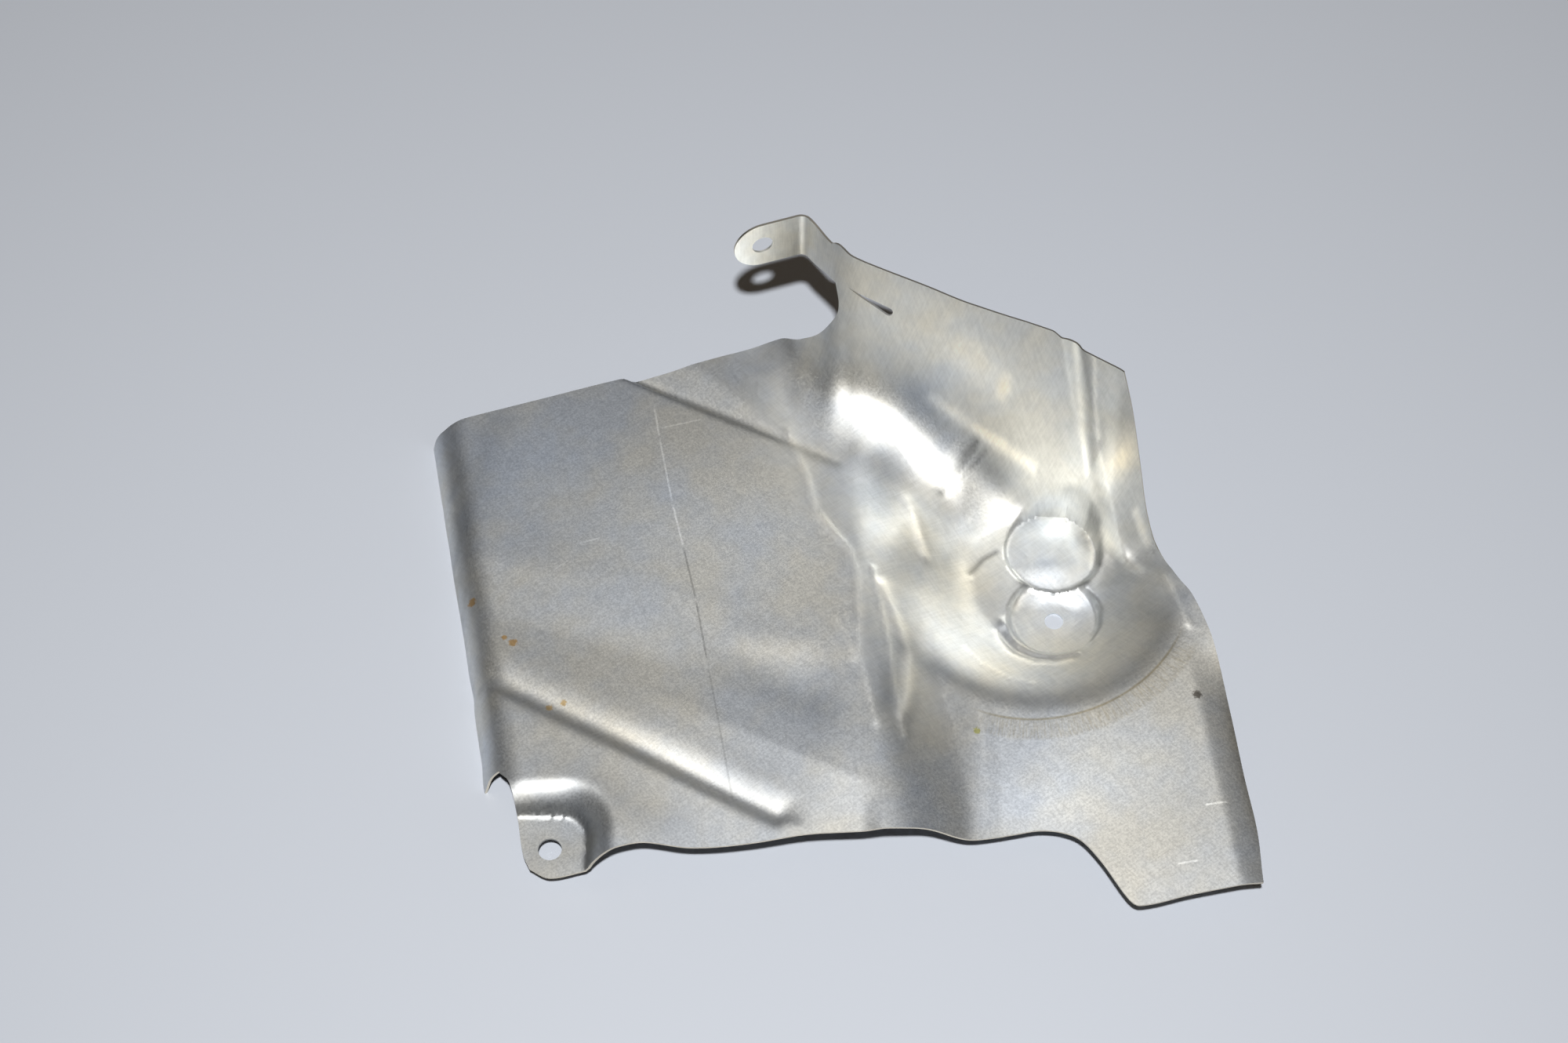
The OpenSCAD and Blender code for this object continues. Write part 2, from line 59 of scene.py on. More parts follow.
# Column between the two: slope and end of its foot, its way to the back, its sides at the front
# and how far they have moved at the back, and how much of it stays beside the trough
COLUMN_SLOPE, COLUMN_FOOT, COLUMN_SPAN = 0.11, -22, (-85, 5)
STEP_SIDES, STEP_MOVES = (-60, -30), (-7, -14)
STEP_KEPT, STEP_KEPT_X_SPAN, STEP_KEPT_Y_SPAN = 0.5, (-30, -5), (2, 30)
# Left edge: radius, angle and width of the roll, where it ends beside the notch, the rows round
# it and down to the table, and the gap that stays there
ROLL_R, ROLL_ANGLE, ROLL_W, ROLL_END_SPAN = 12.0, 75.0, 12.8, (-76, -62)
ROLL_STEPS, DOWN_STEPS, TABLE_GAP = 8, 2, 0.02
# Strip along the right edge: slope, width, softness of its bend, and where it begins and ends
EDGE_SLOPE, EDGE_W, EDGE_SOFT = 0.42, 10.8, 3
EDGE_START_SPAN, EDGE_END_SPAN = (-112, -96), (-42, -12)
# Long groove: depth, half widths of its near and its far side, and the change between them
GROOVE_D, GROOVE_W, GROOVE_FAR_W, GROOVE_MID_SPAN = 1.55, 2.4, 5.4, (-0.5, 1.5)
# Tapered groove: depth, share of it at the point, way to the full depth, width of its steep side
TAPER_D, TAPER_POINT, TAPER_LEN, TAPER_SIDE = 4.2, 0.15, 85, 3.4
# Bowl: middle, height, flat radius and slope of its floor, how its side climbs, and where the
# slow rise beyond it lies
BOWL_AT, BOWL_H, BOWL_FLAT_R, BOWL_SLOPE = (-8.0, 10.0), 4.8, 26, 0.08
BOWL_CLIMB, BOWL_SLOW_SPAN = 0.9, (36, 72)
# Round seat: middle, radius, height, rise to the back, dome, and half the width of its rim
SEAT_AT, SEAT_R, SEAT_H, SEAT_RISE, SEAT_DOME, SEAT_RIM = (0.6, 25.4), 15.7, 2.4, 0.05, 1.4, 1.0
# Pocket: radius, half the width of its rim, hole, dish of its floor and rise of its back
POCKET_R, POCKET_RIM, POCKET_HOLE_D = 14.8, 1.3, 6.2
POCKET_DISH, POCKET_FLAT_R, POCKET_LIFT, POCKET_BACK_SPAN = 1.3, 6, 0.45, (3.5, 10.5)
# Crescent ridge beside the pocket: height, gap, half width and its two ends
RIDGE_H, RIDGE_GAP, RIDGE_W = 1.3, 2.6, 1.7
RIDGE_START_SPAN, RIDGE_END_SPAN = (178, 195), (285, 300)
TROUGH_SOFT = 4
# Wall: height, fall to the right, where it keeps clear of the seat, and the upright step in it
WALL_H, WALL_FALL, WALL_FALL_SPAN, WALL_SEAT_SPAN = 80.0, 11.0, (-95, 35), (-1.5, 1)
WALL_STEP, WALL_STEP_AT, WALL_STEP_LEAN, WALL_STEP_SOFT = 3.4, (2.7, 63.0), 0.46, 1.8
# Corner pad: its hole, height, rounded inner corner, and the drop into it
PAD_AT, PAD_H, PAD_HOLE_D = (-162.0, -87.4), 8.6, 7.4
PAD_CORNER, PAD_CORNER_R = (-158.5, -84.0), 9.0
PAD_RIM_SPAN, PAD_DROP_START, PAD_DROP_W, PAD_DROP_BEND = (-2.2, 0.8), -1.5, 10, 1.9
# Strip, fold and tab: sizes, headings in degrees, and rows of the mesh
TAB_H, TAB_REACH, TAB_TURN, FOLD_R, TAB_Z, TAB_HOLE_D = 19.5, 14.5, 69.0, 3.2, 62.0, 7.2
FOLD_AT, STRIP_TURN = (-82.7, 106.8), 129.5
TAB_HEADING = math.radians(STRIP_TURN + TAB_TURN)
TAB_WAY = np.array([math.cos(TAB_HEADING), math.sin(TAB_HEADING)])
STRIP_STEPS, FOLD_STEPS, TAB_STEPS = 12, 8, 8
TAB_END_TURNS = (9, 18, 27, 36, 45, 54, 62, 69, 75, 80, 84)
# Slit in the wall, and the tools that cut it and the holes
SLIT_AT, SLIT_LEN, SLIT_W = (-61.1, 84.1, 64.9), 17.0, 3.0
SLIT_TURN, SLIT_LEAN, SLIT_DIP = -23.0, 75.0, -15.5
TOOL_LEN, DRILL_SIDES = 8, 64

# Front edge of the sheet, x and y
FRONT = [
    (-168, -94), (-162, -97), (-152, -95), (-146, -93), (-138, -90.5), (-132, -89.7),
    (-118, -91.5), (-100, -90.5), (-82, -88.3), (-62, -88), (-54, -87.6), (-44, -86.4),
    (-32, -87), (-18, -84.6), (-10, -83.3), (-3, -84.2), (2.5, -87), (8, -94),
    (15.5, -106.5), (19, -108.8), (35, -105.5), (57, -101.5)]
# Back edge, notch, strip seam and wall top: a running share from 0 to 1, then x and y
BACK = [
    (0, -206, 71), (0.02, -200, 73), (0.12, -173, 80), (0.215, -148, 86.5), (0.26, -136, 88.8),
    (0.3, -124.5, 91), (0.34, -109, 95.2), (0.41, -91, 98.6), (0.44, -84, 93.8),
    (0.465, -79, 90.1), (0.49, -74.8, 87), (0.51, -71.9, 86.4), (0.53, -71.3, 87.7),
    (0.55, -72.4, 90.8),
    (0.598, -73.9, 96.6), (0.6, -74, 96.9), (0.602, -73.5, 96.4), (0.63, -67.2, 91.1),
    (0.67, -58.6, 87.3), (0.74, -43, 81), (0.8, -29, 75.2), (0.9, -3, 66.8), (0.912, 0, 65.2),
    (0.92, 1.6, 64.1), (0.93, 4.3, 61.6), (0.94, 6.5, 59.6), (0.95, 8.8, 58.2), (0.98, 15, 54.5),
    (1, 19.4, 51.5)]
# Line across the sheet along the foot of the wall, in the same way
FOOT = [
    (0, -199.2, 38.2), (0.12, -164, 49), (0.26, -124, 62), (0.35, -98, 70), (0.41, -83, 71),
    (0.44, -76, 66), (0.49, -65, 57), (0.53, -56.5, 51), (0.55, -52.5, 48), (0.6, -42.5, 42.5),
    (0.67, -29, 39.5), (0.74, -16, 40), (0.8, -6, 41.5), (0.9, 12, 39.5), (0.95, 21, 32.5),
    (1, 33.6, 19)]
# Left and right edge, in the same way
LEFT = [
    (0, -168, -94), (0.03, -170.3, -89), (0.12, -173, -75), (0.165, -175.5, -67),
    (0.19, -179, -62.5), (0.25, -180.5, -52), (1, -206, 71)]
RIGHT = [
    (0, 57, -101.5), (0.1, 57, -84.5), (0.245, 54.7, -65.5), (0.43, 52, -39.4),
    (0.57, 48.9, -19.3), (0.64, 46.4, -9.8), (0.7, 43, 0), (0.73, 40, 5.6),
    (0.77, 36.5, 13), (0.8, 33.6, 19), (0.83, 31.2, 24), (0.87, 29, 29),
    (0.91, 26.6, 35.5), (0.96, 23, 44.5), (1, 19.4, 51.5)]
# Wall: x, then where its top lies in y (carried on past both ends), how steep it is in its
# upper part, and how softly it bends out of the floor
WALL = [
    (-215, 420, 3.4, 20), (-115, 205, 3.4, 20), (-100, 166, 3.4, 20), (-90, 138, 3.4, 20),
    (-84, 120, 3.4, 20), (-79, 108, 3.4, 18), (-74, 97, 3.4, 15), (-67.2, 91, 3.4, 12),
    (-58.6, 87.3, 3.2, 11), (-43, 81, 3.0, 12), (-29, 75.2, 2.8, 13), (-14, 70.3, 2.5, 8),
    (-3, 66.8, 2.4, 5), (4, 64.2, 2.3, 4.5), (10, 60.9, 2.2, 4.5), (15, 57.9, 2.2, 4.5),
    (19.4, 54.9, 2.2, 5), (27, 51.6, 2.2, 5), (34, 48.4, 2.2, 6), (60, 35.4, 2.2, 6)]
# Side of the bowl: the way round it in degrees, radii of its foot and its rim, how much of the
# rise lies in it, and how much lies in a slow rise beyond it
BOWL = [
    (0, 21, 57, 1, 0), (20, 26, 55, 0.7, 0), (50, 30, 50, 0.1, 0), (75, 30, 46, 0.05, 0),
    (95, 28, 46, 0.25, 0.05), (115, 24, 46, 0.4, 0.3), (135, 21, 46, 0.48, 0.52),
    (150, 20, 46, 0.6, 0.4), (170, 18, 47, 0.9, 0.1), (190, 17, 48, 1, 0), (225, 17, 51, 1, 0),
    (270, 19, 53, 1, 0), (315, 20, 55, 1, 0), (360, 21, 57, 1, 0)]
# Trough: x, where the tilted bed begins in y, and how strongly it tilts there
TROUGH = [
    (-215, 90, 0), (-104, 88, 0.01), (-92, 76, 0.13), (-82, 63, 0.26), (-75, 57, 0.33),
    (-66, 54, 0.37), (-50, 49.5, 0.4), (-40, 46, 0.43), (-31, 43.5, 0.4), (-24, 45, 0.16),
    (-16, 47, 0.02), (-10, 48, 0), (60, 48, 0)]
# Creases, grooves and edges, each as a line between two points
CREASE_A = ((-191.6, 15), (-76, -24))
CREASE_B = ((-116, -45), (-65, -71))
GROOVE = ((-186, -28.5), (-91.5, -81.5))
TAPER_LOW = ((-147, 88), (-70.6, 46))
TAPER_HIGH = ((-122, 92), (-70.6, 46))
ROLL_EDGE = ((-184.3, -61.7), (-211.2, 75.2))
RIGHT_EDGE = ((60, -101), (50, -20))


# Folds and marks that the press and handling left, with painted highlights and painted shade
# along them: height, half width, change of shade (painted light and shade) and points. One
# without a height is only a painted line of highlight or shade
FOLDS_AND_PAINTED_LINES = [
    # creases in the steep side of the large panel, and a fold on the column, with painted
    # highlights along them
    (0.32, 1.3, 0.2, [(-88, 62), (-81.8, 42.6), (-79.1, 29), (-68.7, 14.2), (-66, 4),
                      (-65, -10.2), (-65.7, -24.1), (-63.6, -34.9), (-60.5, -51.1)]),
    (0.35, 0.9, 0.25, [(-60.3, 7.1), (-57.6, -9.2), (-55.6, -21.8), (-54.7, -34.4),
                       (-51.7, -54.7)]),
    (0.6, 2.2, 0.35, [(-57.4, 0.9), (-53, -9.3), (-49, -24.2), (-49.4, -36), (-51.5, -46.6)]),
    (0.3, 0.8, 0.2, [(-72.8, -11.2), (-69.1, -19.6), (-67, -28.2)]),
    (0.25, 0.8, 0.15, [(-70, -10), (-66.8, -18)]),
    # folds in the trough, with a painted highlight and painted shade lines
    (0.55, 2.2, 0.35, [(-48, 37), (-45.5, 29.9), (-43.5, 21.5), (-42.6, 17)]),
    (-0.2, 1.5, -0.3, [(-25.4, 54.7), (-32.8, 47.5), (-37.1, 41.9)]),
    (-0.3, 0.5, -0.3, [(-24.5, 54.5), (-31.5, 46.8), (-36.4, 41.5)]),
    (-0.2, 0.6, -0.25, [(-22, 52.5), (-28.5, 47.8), (-31.5, 43.5)]),
    # wrinkles along the foot of the wall, with painted highlights on them
    (1.1, 1.0, 0.5, [(-40.6, 65), (-30.6, 59.1), (-21.9, 55), (-10.5, 49.5), (-5.7, 47.2)]),
    (0.8, 0.7, 0.35, [(-25.6, 56.8), (-15.6, 52.7)]),
    # dents and draw marks round the seat and the pocket, with painted shade and painted
    # highlights
    (-0.3, 1.0, -0.5, [(-27.5, 16), (-23, 21.6), (-18.5, 24.6)]),
    (0.6, 1.6, 0.3, [(16.5, 29), (22, 22.5), (28, 13)]),
    (-0.5, 2, -0.1, [(19, 31), (26, 25), (32, 20)]),
    (0.45, 1.2, 0.35, [(-19.8, -7), (-18.6, -11.5), (-15.2, -16.6), (-8.2, -20.8), (-1, -21.6),
                      (3.8, -20)]),
    (-0.6, 1.9, -0.2, [(-17.6, -7), (-13.6, -13.4), (-7.4, -17.4), (0, -18.6), (4, -18)]),
    (0.2, 0.7, 0.2, [(-31, -16), (-25.6, -22.5), (-17.5, -28), (-9, -30.5)]),
    # painted shade: darker bands round the bowl and on the column
    (0, 4.6, -0.3, [(-50.5, -20), (-38, -29.5), (-22, -37), (-6, -39.5), (10, -36.5),
                    (23, -28.5), (33, -16), (37.5, -2)]),
    (0, 3.2, -0.12, [(-58, -44), (-55, -30), (-46, -14)]),
    # painted shade and painted highlight lines along the edges of the seat and the pocket
    (0, 1.6, -0.6, [(-10, 13), (-5, 10.9), (0.6, 10), (6, 10.8), (11, 13)]),
    (0, 0.9, -0.5, [(13, 35), (15.4, 31.5), (16.6, 27), (16, 19.5)]),
    (0, 0.9, -0.3, [(-15.4, 28), (-13.5, 33), (-10, 37)]),
    (0, 0.8, 0.3, [(13, 31.5), (14.3, 25.4), (13.2, 19.5)]),
    (0, 0.9, -0.4, [(12.2, 9.5), (15.2, 2), (14.6, -4.8), (11, -10.8)]),
    (0, 1.3, 0.35, [(-12.6, 4), (-11, 8), (-7, 11)]),
    # painted shade along the edge of the pad, and painted highlight and shade along the edges of
    # the groove and the column
    (0, 1.8, -0.4, [(-176, -75), (-158.5, -75), (-153.5, -76.4), (-150.6, -79.8), (-149.4, -84),
                     (-149.4, -93)]),
    (0, 1.2, 0.25, [(-184, -26.4), (-91, -79.2)]),
    (0, 4.5, -0.22, [(-33.5, -42), (-32.8, -60), (-33.5, -84)]),
    (0, 1.2, 0.1, [(-26.6, -42), (-27, -82)]),
    # kink and crumple at the right edge, with painted highlights
    (0.7, 1.0, 0.45, [(26.5, 28), (31, 21)]),
    (0.4, 1.3, 0.3, [(35.5, 8), (38.6, -2), (41, -12)]),
    # painted highlight and painted shade lines along the upright step in the wall
    (0, 0.7, 0.35, [(4.3, 61.8), (6.8, 54.3), (11, 41.2)]),
    (0, 1.3, -0.35, [(6.5, 61), (9.2, 53), (13, 42)]),
    (0, 0.6, 0.35, [(10.3, 57.4), (11.7, 49.1), (13.4, 43.9)]),
    # painted highlight along the crease of the large panel, and painted shade and highlight along
    # the edges of both grooves
    (0, 4, 0.14, [(-188, 14), (-146, 3), (-112, -10)]),
    (0, 1.9, -0.35, [(-143, 88), (-72, 47.4)]),
    (0, 1.3, 0.2, [(-138, 88), (-72, 49.4)]),
    (0, 1.8, -0.25, [(-187, -31), (-92, -84)]),
    # dents along the rolled edge, with painted shade in them
    (-0.25, 1.4, -0.12, [(-202, 60), (-199, 51), (-201.5, 44)]),
    (-0.25, 1.4, -0.12, [(-200.5, 36), (-196.8, 29), (-199, 20)]),
    (-0.2, 1.2, -0.12, [(-197.5, 14), (-194.5, 6), (-195.6, -4)])]
# Painted light and shade that stand in for highlights, reflections and shade: middle, half
# widths, turn in degrees, change of shade, warmth (a warm or cool tint of painted reflections)
PAINTED_LIGHT_PLACES = [
    ((-103, 20), (34, 34), 0, 0.24, -0.2), ((-140, 25), (26, 30), 0, 0.12, -0.2),
    ((-175, 50), (24, 26), 0, 0.08, -0.6), ((-77, -45), (14, 9), -20, -0.12, -0.4),
    ((-100, -32), (28, 7), -32, -0.26, -0.3), ((-86, 85), (6, 7), 0, 0.35, 0),
    ((-82, 75), (5, 12), 0, 0.35, 0), ((-60, 50), (12, 6), -30, -0.4, 0),
    ((-43, 64.5), (14, 4), -36, -0.25, -0.8), ((-97, -69), (18, 5), -30, -0.25, 0),
    ((-24, 34), (13, 4.2), 37, 0.8, -0.4), ((-19, 48), (12, 3.6), -25, -0.4, -0.5),
    ((30, -4), (7, 8), 0, -0.15, 0), ((-47, 20), (9, 9), 0, -0.15, 0),
    ((-162, -74), (12, 4), 0, -0.2, 0),
    ((-88, -24), (22, 4.5), -6, 0.2, 0.6), ((-138, -76), (26, 8), -28, -0.2, 0),
    ((-43, 75), (30, 7), -24, 0.4, 0.3), ((-25, 66), (11, 2.2), -26, 0.4, 1),
    ((-17, 61.4), (2, 1.6), 0, 0.5, 1), ((17, 44), (9, 7), 0, -0.34, 0),
    ((-97, 102), (12, 7), 18, 0.4, 0), ((-30, 4), (13, 13), 0, -0.14, 0.2),
    ((3, 50), (9, 8), -30, -0.22, 0),
    ((-59, 33), (7, 9), 0, -0.3, -0.3), ((-72, 66), (9, 9), 0, -0.12, -0.2),
    ((0, 36.5), (7, 3), 0, -0.3, -0.3),
    ((0, 0), (14, 13), 0, 0.3, -0.2), ((9, -60), (26, 16), 0, 0.17, -0.5),
    ((-9, -76), (20, 12), 0, 0.24, -0.3), ((40, -82), (12, 16), 0, -0.06, -0.3),
    ((-54, -52), (7, 34), 4, -0.28, -0.6), ((-160, -88), (16, 8), 0, -0.2, 0),
    ((-198, 20), (6, 70), -11, -0.2, -0.3), ((56.5, -62), (4, 34), 7, -0.55, 1.6),
    ((21, 38), (4, 3), 0, 0.5, 1.4), ((-72, 34), (8, 18), 0, -0.1, 0),
    ((37, -2), (5, 9), 20, 0.25, -0.3), ((0.6, 25.4), (15, 13), 0, 0.14, -0.9),
    ((8, 27), (2.6, 6.5), 8, 0.35, -0.3), ((-1, 16), (8, 2.4), 2, 0.3, 0),
    ((-3, 20.5), (9, 1.8), 3, -0.16, -0.4)]
# Tint of a warm place, how warm a painted highlight is, and the limits of warmth and shade
WARM, HIGHLIGHT_WARMTH, WARMTH_LIMITS, SHADE_LIMITS = (0.05, 0.0, -0.09), 1.1, (-1.5, 2), (0.45, 1.5)

# Long scratches: their points, and how light they are
SCRATCHES = [
    ([(-133.6, 73.9), (-131.6, 61.9), (-126.5, 34.3), (-122.4, 16.7)], 1.35),
    ([(-122.4, 16.7), (-118, -3.5), (-114, -26)], 0.7),
    ([(-114, -26), (-105, -77)], 0.82), ([(-131.5, 65.5), (-116.8, 68.5)], 1.25),
    ([(41, -76), (48.5, -75)], 1.5), ([(31, -95.5), (38, -94.5)], 1.4),
    ([(-158, 20), (-150, 22)], 1.2), ([(-165, 10), (-160, 14)], 1.2)]
# Rust spots and flecks of dirt on the face: middle, radius and colour
SPOTS = [
    ((-191.8, 1.2), 1.5, "#C39A58"), ((-180, -14.5), 1, "#C39A58"),
    ((-177, -16.6), 1.5, "#C39A58"), ((-164, -41), 1.2, "#C3A56C"),
    ((-159.5, -39.5), 1.1, "#C3A56C"), ((-28.4, -49.2), 1.2, "#A9A85A"),
    ((41.9, -37.6), 1.5, "#4C4439")]

# Ring of short draw marks round the bowl: its middle, its radii, and in degrees the way to the
# middle of its arc and half its length
RING_AT, RING_R, RING_TURN = (-10, 9), (54.0, 61.0), (-68, 42)

# Grid: breaks along the width and the depth, and how many cells lie between them
COL_BREAKS, COL_COUNTS = (0, 0.4, 0.55, 0.6, 0.74, 0.93, 1), (84, 34, 12, 32, 60, 16)
ROW_BREAKS, ROW_COUNTS = (0, 0.19, 0.44, 0.8, 1), (30, 32, 76, 42)
FOOT_V = ROW_BREAKS[3]


# Height of the pressed sheet
def ease(a, b, t):
    s = np.clip((t - a) / (b - a), 0, 1)
    return s * s * (3 - 2 * s)


def mix(a, b, t):
    return a * (1 - t) + b * t


def curve(table, t):
    """Smooth curve through rows of (share, values...), at the shares t."""
    table = np.asarray(table, float)
    last = len(table) - 1
    above = np.minimum(np.arange(last + 1) + 1, last)
    below = np.maximum(np.arange(last + 1) - 1, 0)
    rate = (table[above] - table[below]) / (table[above, :1] - table[below, :1])
    i = np.clip(np.searchsorted(table[:, 0], t, side="right") - 1, 0, last - 1)
    h = (table[i + 1, 0] - table[i, 0])[:, None]
    s = (np.asarray(t) - table[i, 0])[:, None] / h
    return ((2 * s**3 - 3 * s**2 + 1) * table[i] + (s**3 - 2 * s**2 + s) * h * rate[i]
            + (3 * s**2 - 2 * s**3) * table[i + 1] + (s**3 - s**2) * h * rate[i + 1])[:, 1:]


def looked_up(table, t):
    """Arrays of the table's values at each t, one for each of its columns after the first."""
    values = curve(table, np.ravel(t))
    return np.moveaxis(values.reshape(*np.shape(t), values.shape[1]), -1, 0)


def left_of(x, y, line):
    (ax, ay), (bx, by) = line
    return ((bx - ax) * (y - ay) - (by - ay) * (x - ax)) / math.hypot(bx - ax, by - ay)


def reach_to(x, y, line):
    (ax, ay), (bx, by) = line
    dx, dy = bx - ax, by - ay
    t = np.clip(((x - ax) * dx + (y - ay) * dy) / (dx * dx + dy * dy), 0, 1)
    return np.hypot(x - ax - t * dx, y - ay - t * dy)


def around(x, y, middle):
    """Distance from a middle, and the way round it in degrees."""
    dx, dy = x - middle[0], y - middle[1]
    return np.hypot(dx, dy), np.degrees(np.arctan2(dy, dx)) % 360


def soft_rise(t, soft):
    """Nothing below 0, then a straight rise, with a bend of the given softness between them."""
    return soft * np.log1p(np.exp(t / soft))


def panel_z(x, y):
    past_a, past_b = -left_of(x, y, CREASE_A), np.maximum(0, -left_of(x, y, CREASE_B))
    crease = ease(*CREASE_SPAN, past_a) - REBOUND * ease(*REBOUND_SPAN, past_a)
    facet = FRONT_FALL * (1 - np.exp(-FACET_SLOPE * past_b / FRONT_FALL))
    return (PANEL_H + PANEL_RISE * (x - PANEL_LEFT) / PANEL_W
            - crease * (1 - ease(*CREASE_END_SPAN, x))
            - facet * (1 - ease(*FACET_END_SPAN, x)) * ease(*FACET_START_SPAN, x))


def low_z(x, y):
    beside_column = COLUMN_SLOPE * np.maximum(COLUMN_FOOT - x, 0) * (1 - ease(*COLUMN_SPAN, y))
    return (LOW_H + LOW_RISE_X * np.maximum(x - LOW_AT[0], 0) + beside_column
            + LOW_RISE_Y * (y - LOW_AT[1]))


def step_z(x, y):
    """The large panel at the left of the column and the low panel at its right."""
    back = ease(*COLUMN_SPAN, y)
    top, foot = (side + move * back for side, move in zip(STEP_SIDES, STEP_MOVES))
    kept = STEP_KEPT * ease(*STEP_KEPT_Y_SPAN, y) * (1 - ease(*STEP_KEPT_X_SPAN, x))
    return mix(panel_z(x, y), low_z(x, y), ease(top, foot, x) * (1 - kept))


def bowl_z(x, y):
    far, turn = around(x, y, BOWL_AT)
    foot, rim, side, slow = looked_up(BOWL, turn)
    bottom = BOWL_H + BOWL_SLOPE * np.maximum(far - BOWL_FLAT_R, 0)
    climb = ease(0, 1, np.clip((far - foot) / (rim - foot), 0, 1) ** BOWL_CLIMB)
    return mix(bottom, step_z(x, y), side * climb + slow * ease(*BOWL_SLOW_SPAN, far))


def trough_z(x, y):
    """The trough's bed, which tilts toward the panel before the wall begins."""
    start, tilt = looked_up(TROUGH, x)
    return tilt * soft_rise(y - start, TROUGH_SOFT)


def ridge_z(x, y):
    far, turn = around(x, y, (0, 0))
    off = (far - POCKET_R - RIDGE_GAP) / RIDGE_W
    ends = ease(*RIDGE_START_SPAN, turn) * (1 - ease(*RIDGE_END_SPAN, turn))
    return RIDGE_H * np.exp(-off * off) * ends


def seat_gap(x, y):
    return np.hypot(x - SEAT_AT[0], y - SEAT_AT[1]) - SEAT_R


def drawn_z(x, y):
    """Panels and bowl, with the round seat and the pocket under it."""
    off = np.minimum(seat_gap(x, y) / SEAT_R + 1, 1)
    seat_top = SEAT_H + SEAT_RISE * (y - SEAT_AT[1] + SEAT_R) + SEAT_DOME * (1 - off * off)
    seat = 1 - ease(-SEAT_RIM, SEAT_RIM, seat_gap(x, y))
    far = np.hypot(x, y)
    pocket = (1 - ease(-POCKET_RIM, POCKET_RIM, far - POCKET_R)) * (1 - seat)
    dish = (SHEET_T + POCKET_DISH * ease(POCKET_FLAT_R, POCKET_R, far)
            + POCKET_LIFT * ease(*POCKET_BACK_SPAN, y))
    return mix(mix(bowl_z(x, y) + ridge_z(x, y), seat_top, seat), dish, pocket)


def pad_gap(x, y):
    dx, dy = x - PAD_CORNER[0], y - PAD_CORNER[1]
    outside = np.hypot(np.maximum(dx, 0), np.maximum(dy, 0))
    return np.where((dx < 0) & (dy < 0), np.maximum(dx, dy), outside) - PAD_CORNER_R


def padded_z(x, y):
    gap = pad_gap(x, y)
    near = 1 - np.clip((gap - PAD_DROP_START) / PAD_DROP_W, 0, 1)
    pad = 1 - (1 - near ** PAD_DROP_BEND) * ease(*PAD_RIM_SPAN, gap)
    return mix(drawn_z(x, y), PAD_H, pad)


def groove_z(x, y):
    half = mix(GROOVE_W, GROOVE_FAR_W, ease(*GROOVE_MID_SPAN, left_of(x, y, GROOVE)))
    return -GROOVE_D * np.exp(-(reach_to(x, y, GROOVE) / half) ** 2)


def taper_z(x, y):
    low, high = left_of(x, y, TAPER_LOW), -left_of(x, y, TAPER_HIGH)
    share = low / np.maximum(low + high, 0.01)
    far, _ = around(x, y, TAPER_LOW[1])
    deep = np.clip(far / TAPER_LEN + TAPER_POINT, 0, 1)
    depth = TAPER_D * deep * (1 - share) * ease(0, TAPER_SIDE, low)
    return -np.where((low > 0) & (high > 0), depth, 0)


def roll_in(x, y):
    """How far a place lies inside the line along the rolled edge."""
    return -left_of(x, y, ROLL_EDGE)


def roll_drop(x, y):
    s = np.clip((ROLL_W - roll_in(x, y)) / ROLL_R, 0, math.sin(math.radians(ROLL_ANGLE)))
    return ROLL_R * (1 - np.sqrt(1 - s * s)) * ease(*ROLL_END_SPAN, y)


def right_drop(x, y):
    near = np.maximum(0, EDGE_W - left_of(x, y, RIGHT_EDGE))
    ends = ease(*EDGE_START_SPAN, y) * (1 - ease(*EDGE_END_SPAN, y))
    return EDGE_SLOPE * near * near / (near + EDGE_SOFT) * ends


def near_line(x, y, points, half):
    """1 on the line through the points, which fades to 0 over about the half width."""
    reach = np.min([reach_to(x, y, pair) for pair in zip(points, points[1:])], axis=0)
    return np.exp(-(reach / half) ** 2)


def marks_z(x, y):
    return sum(high * near_line(x, y, points, half) for high, half, _, points in FOLDS_AND_PAINTED_LINES if high)


def floor_z(x, y):
    return (padded_z(x, y) + groove_z(x, y) + taper_z(x, y) + trough_z(x, y) + marks_z(x, y)
            - roll_drop(x, y) - right_drop(x, y))


def sheet_z(x, y):
    """Height of the sheet's face: the floor, and the wall that bends up out of it."""
    z = floor_z(x, y)
    top_y, steep, soft = looked_up(WALL, x)
    past_step = x - WALL_STEP_AT[0] - WALL_STEP_LEAN * (WALL_STEP_AT[1] - y)
    top_y = top_y - WALL_STEP * ease(-WALL_STEP_SOFT, WALL_STEP_SOFT, past_step)
    high = np.maximum(WALL_H - WALL_FALL * ease(*WALL_FALL_SPAN, x) - z, 1)
    lift = soft_rise(steep * (y - top_y) + high, soft) * ease(*WALL_SEAT_SPAN, seat_gap(x, y))
    return z + lift * high / soft_rise(high, soft)


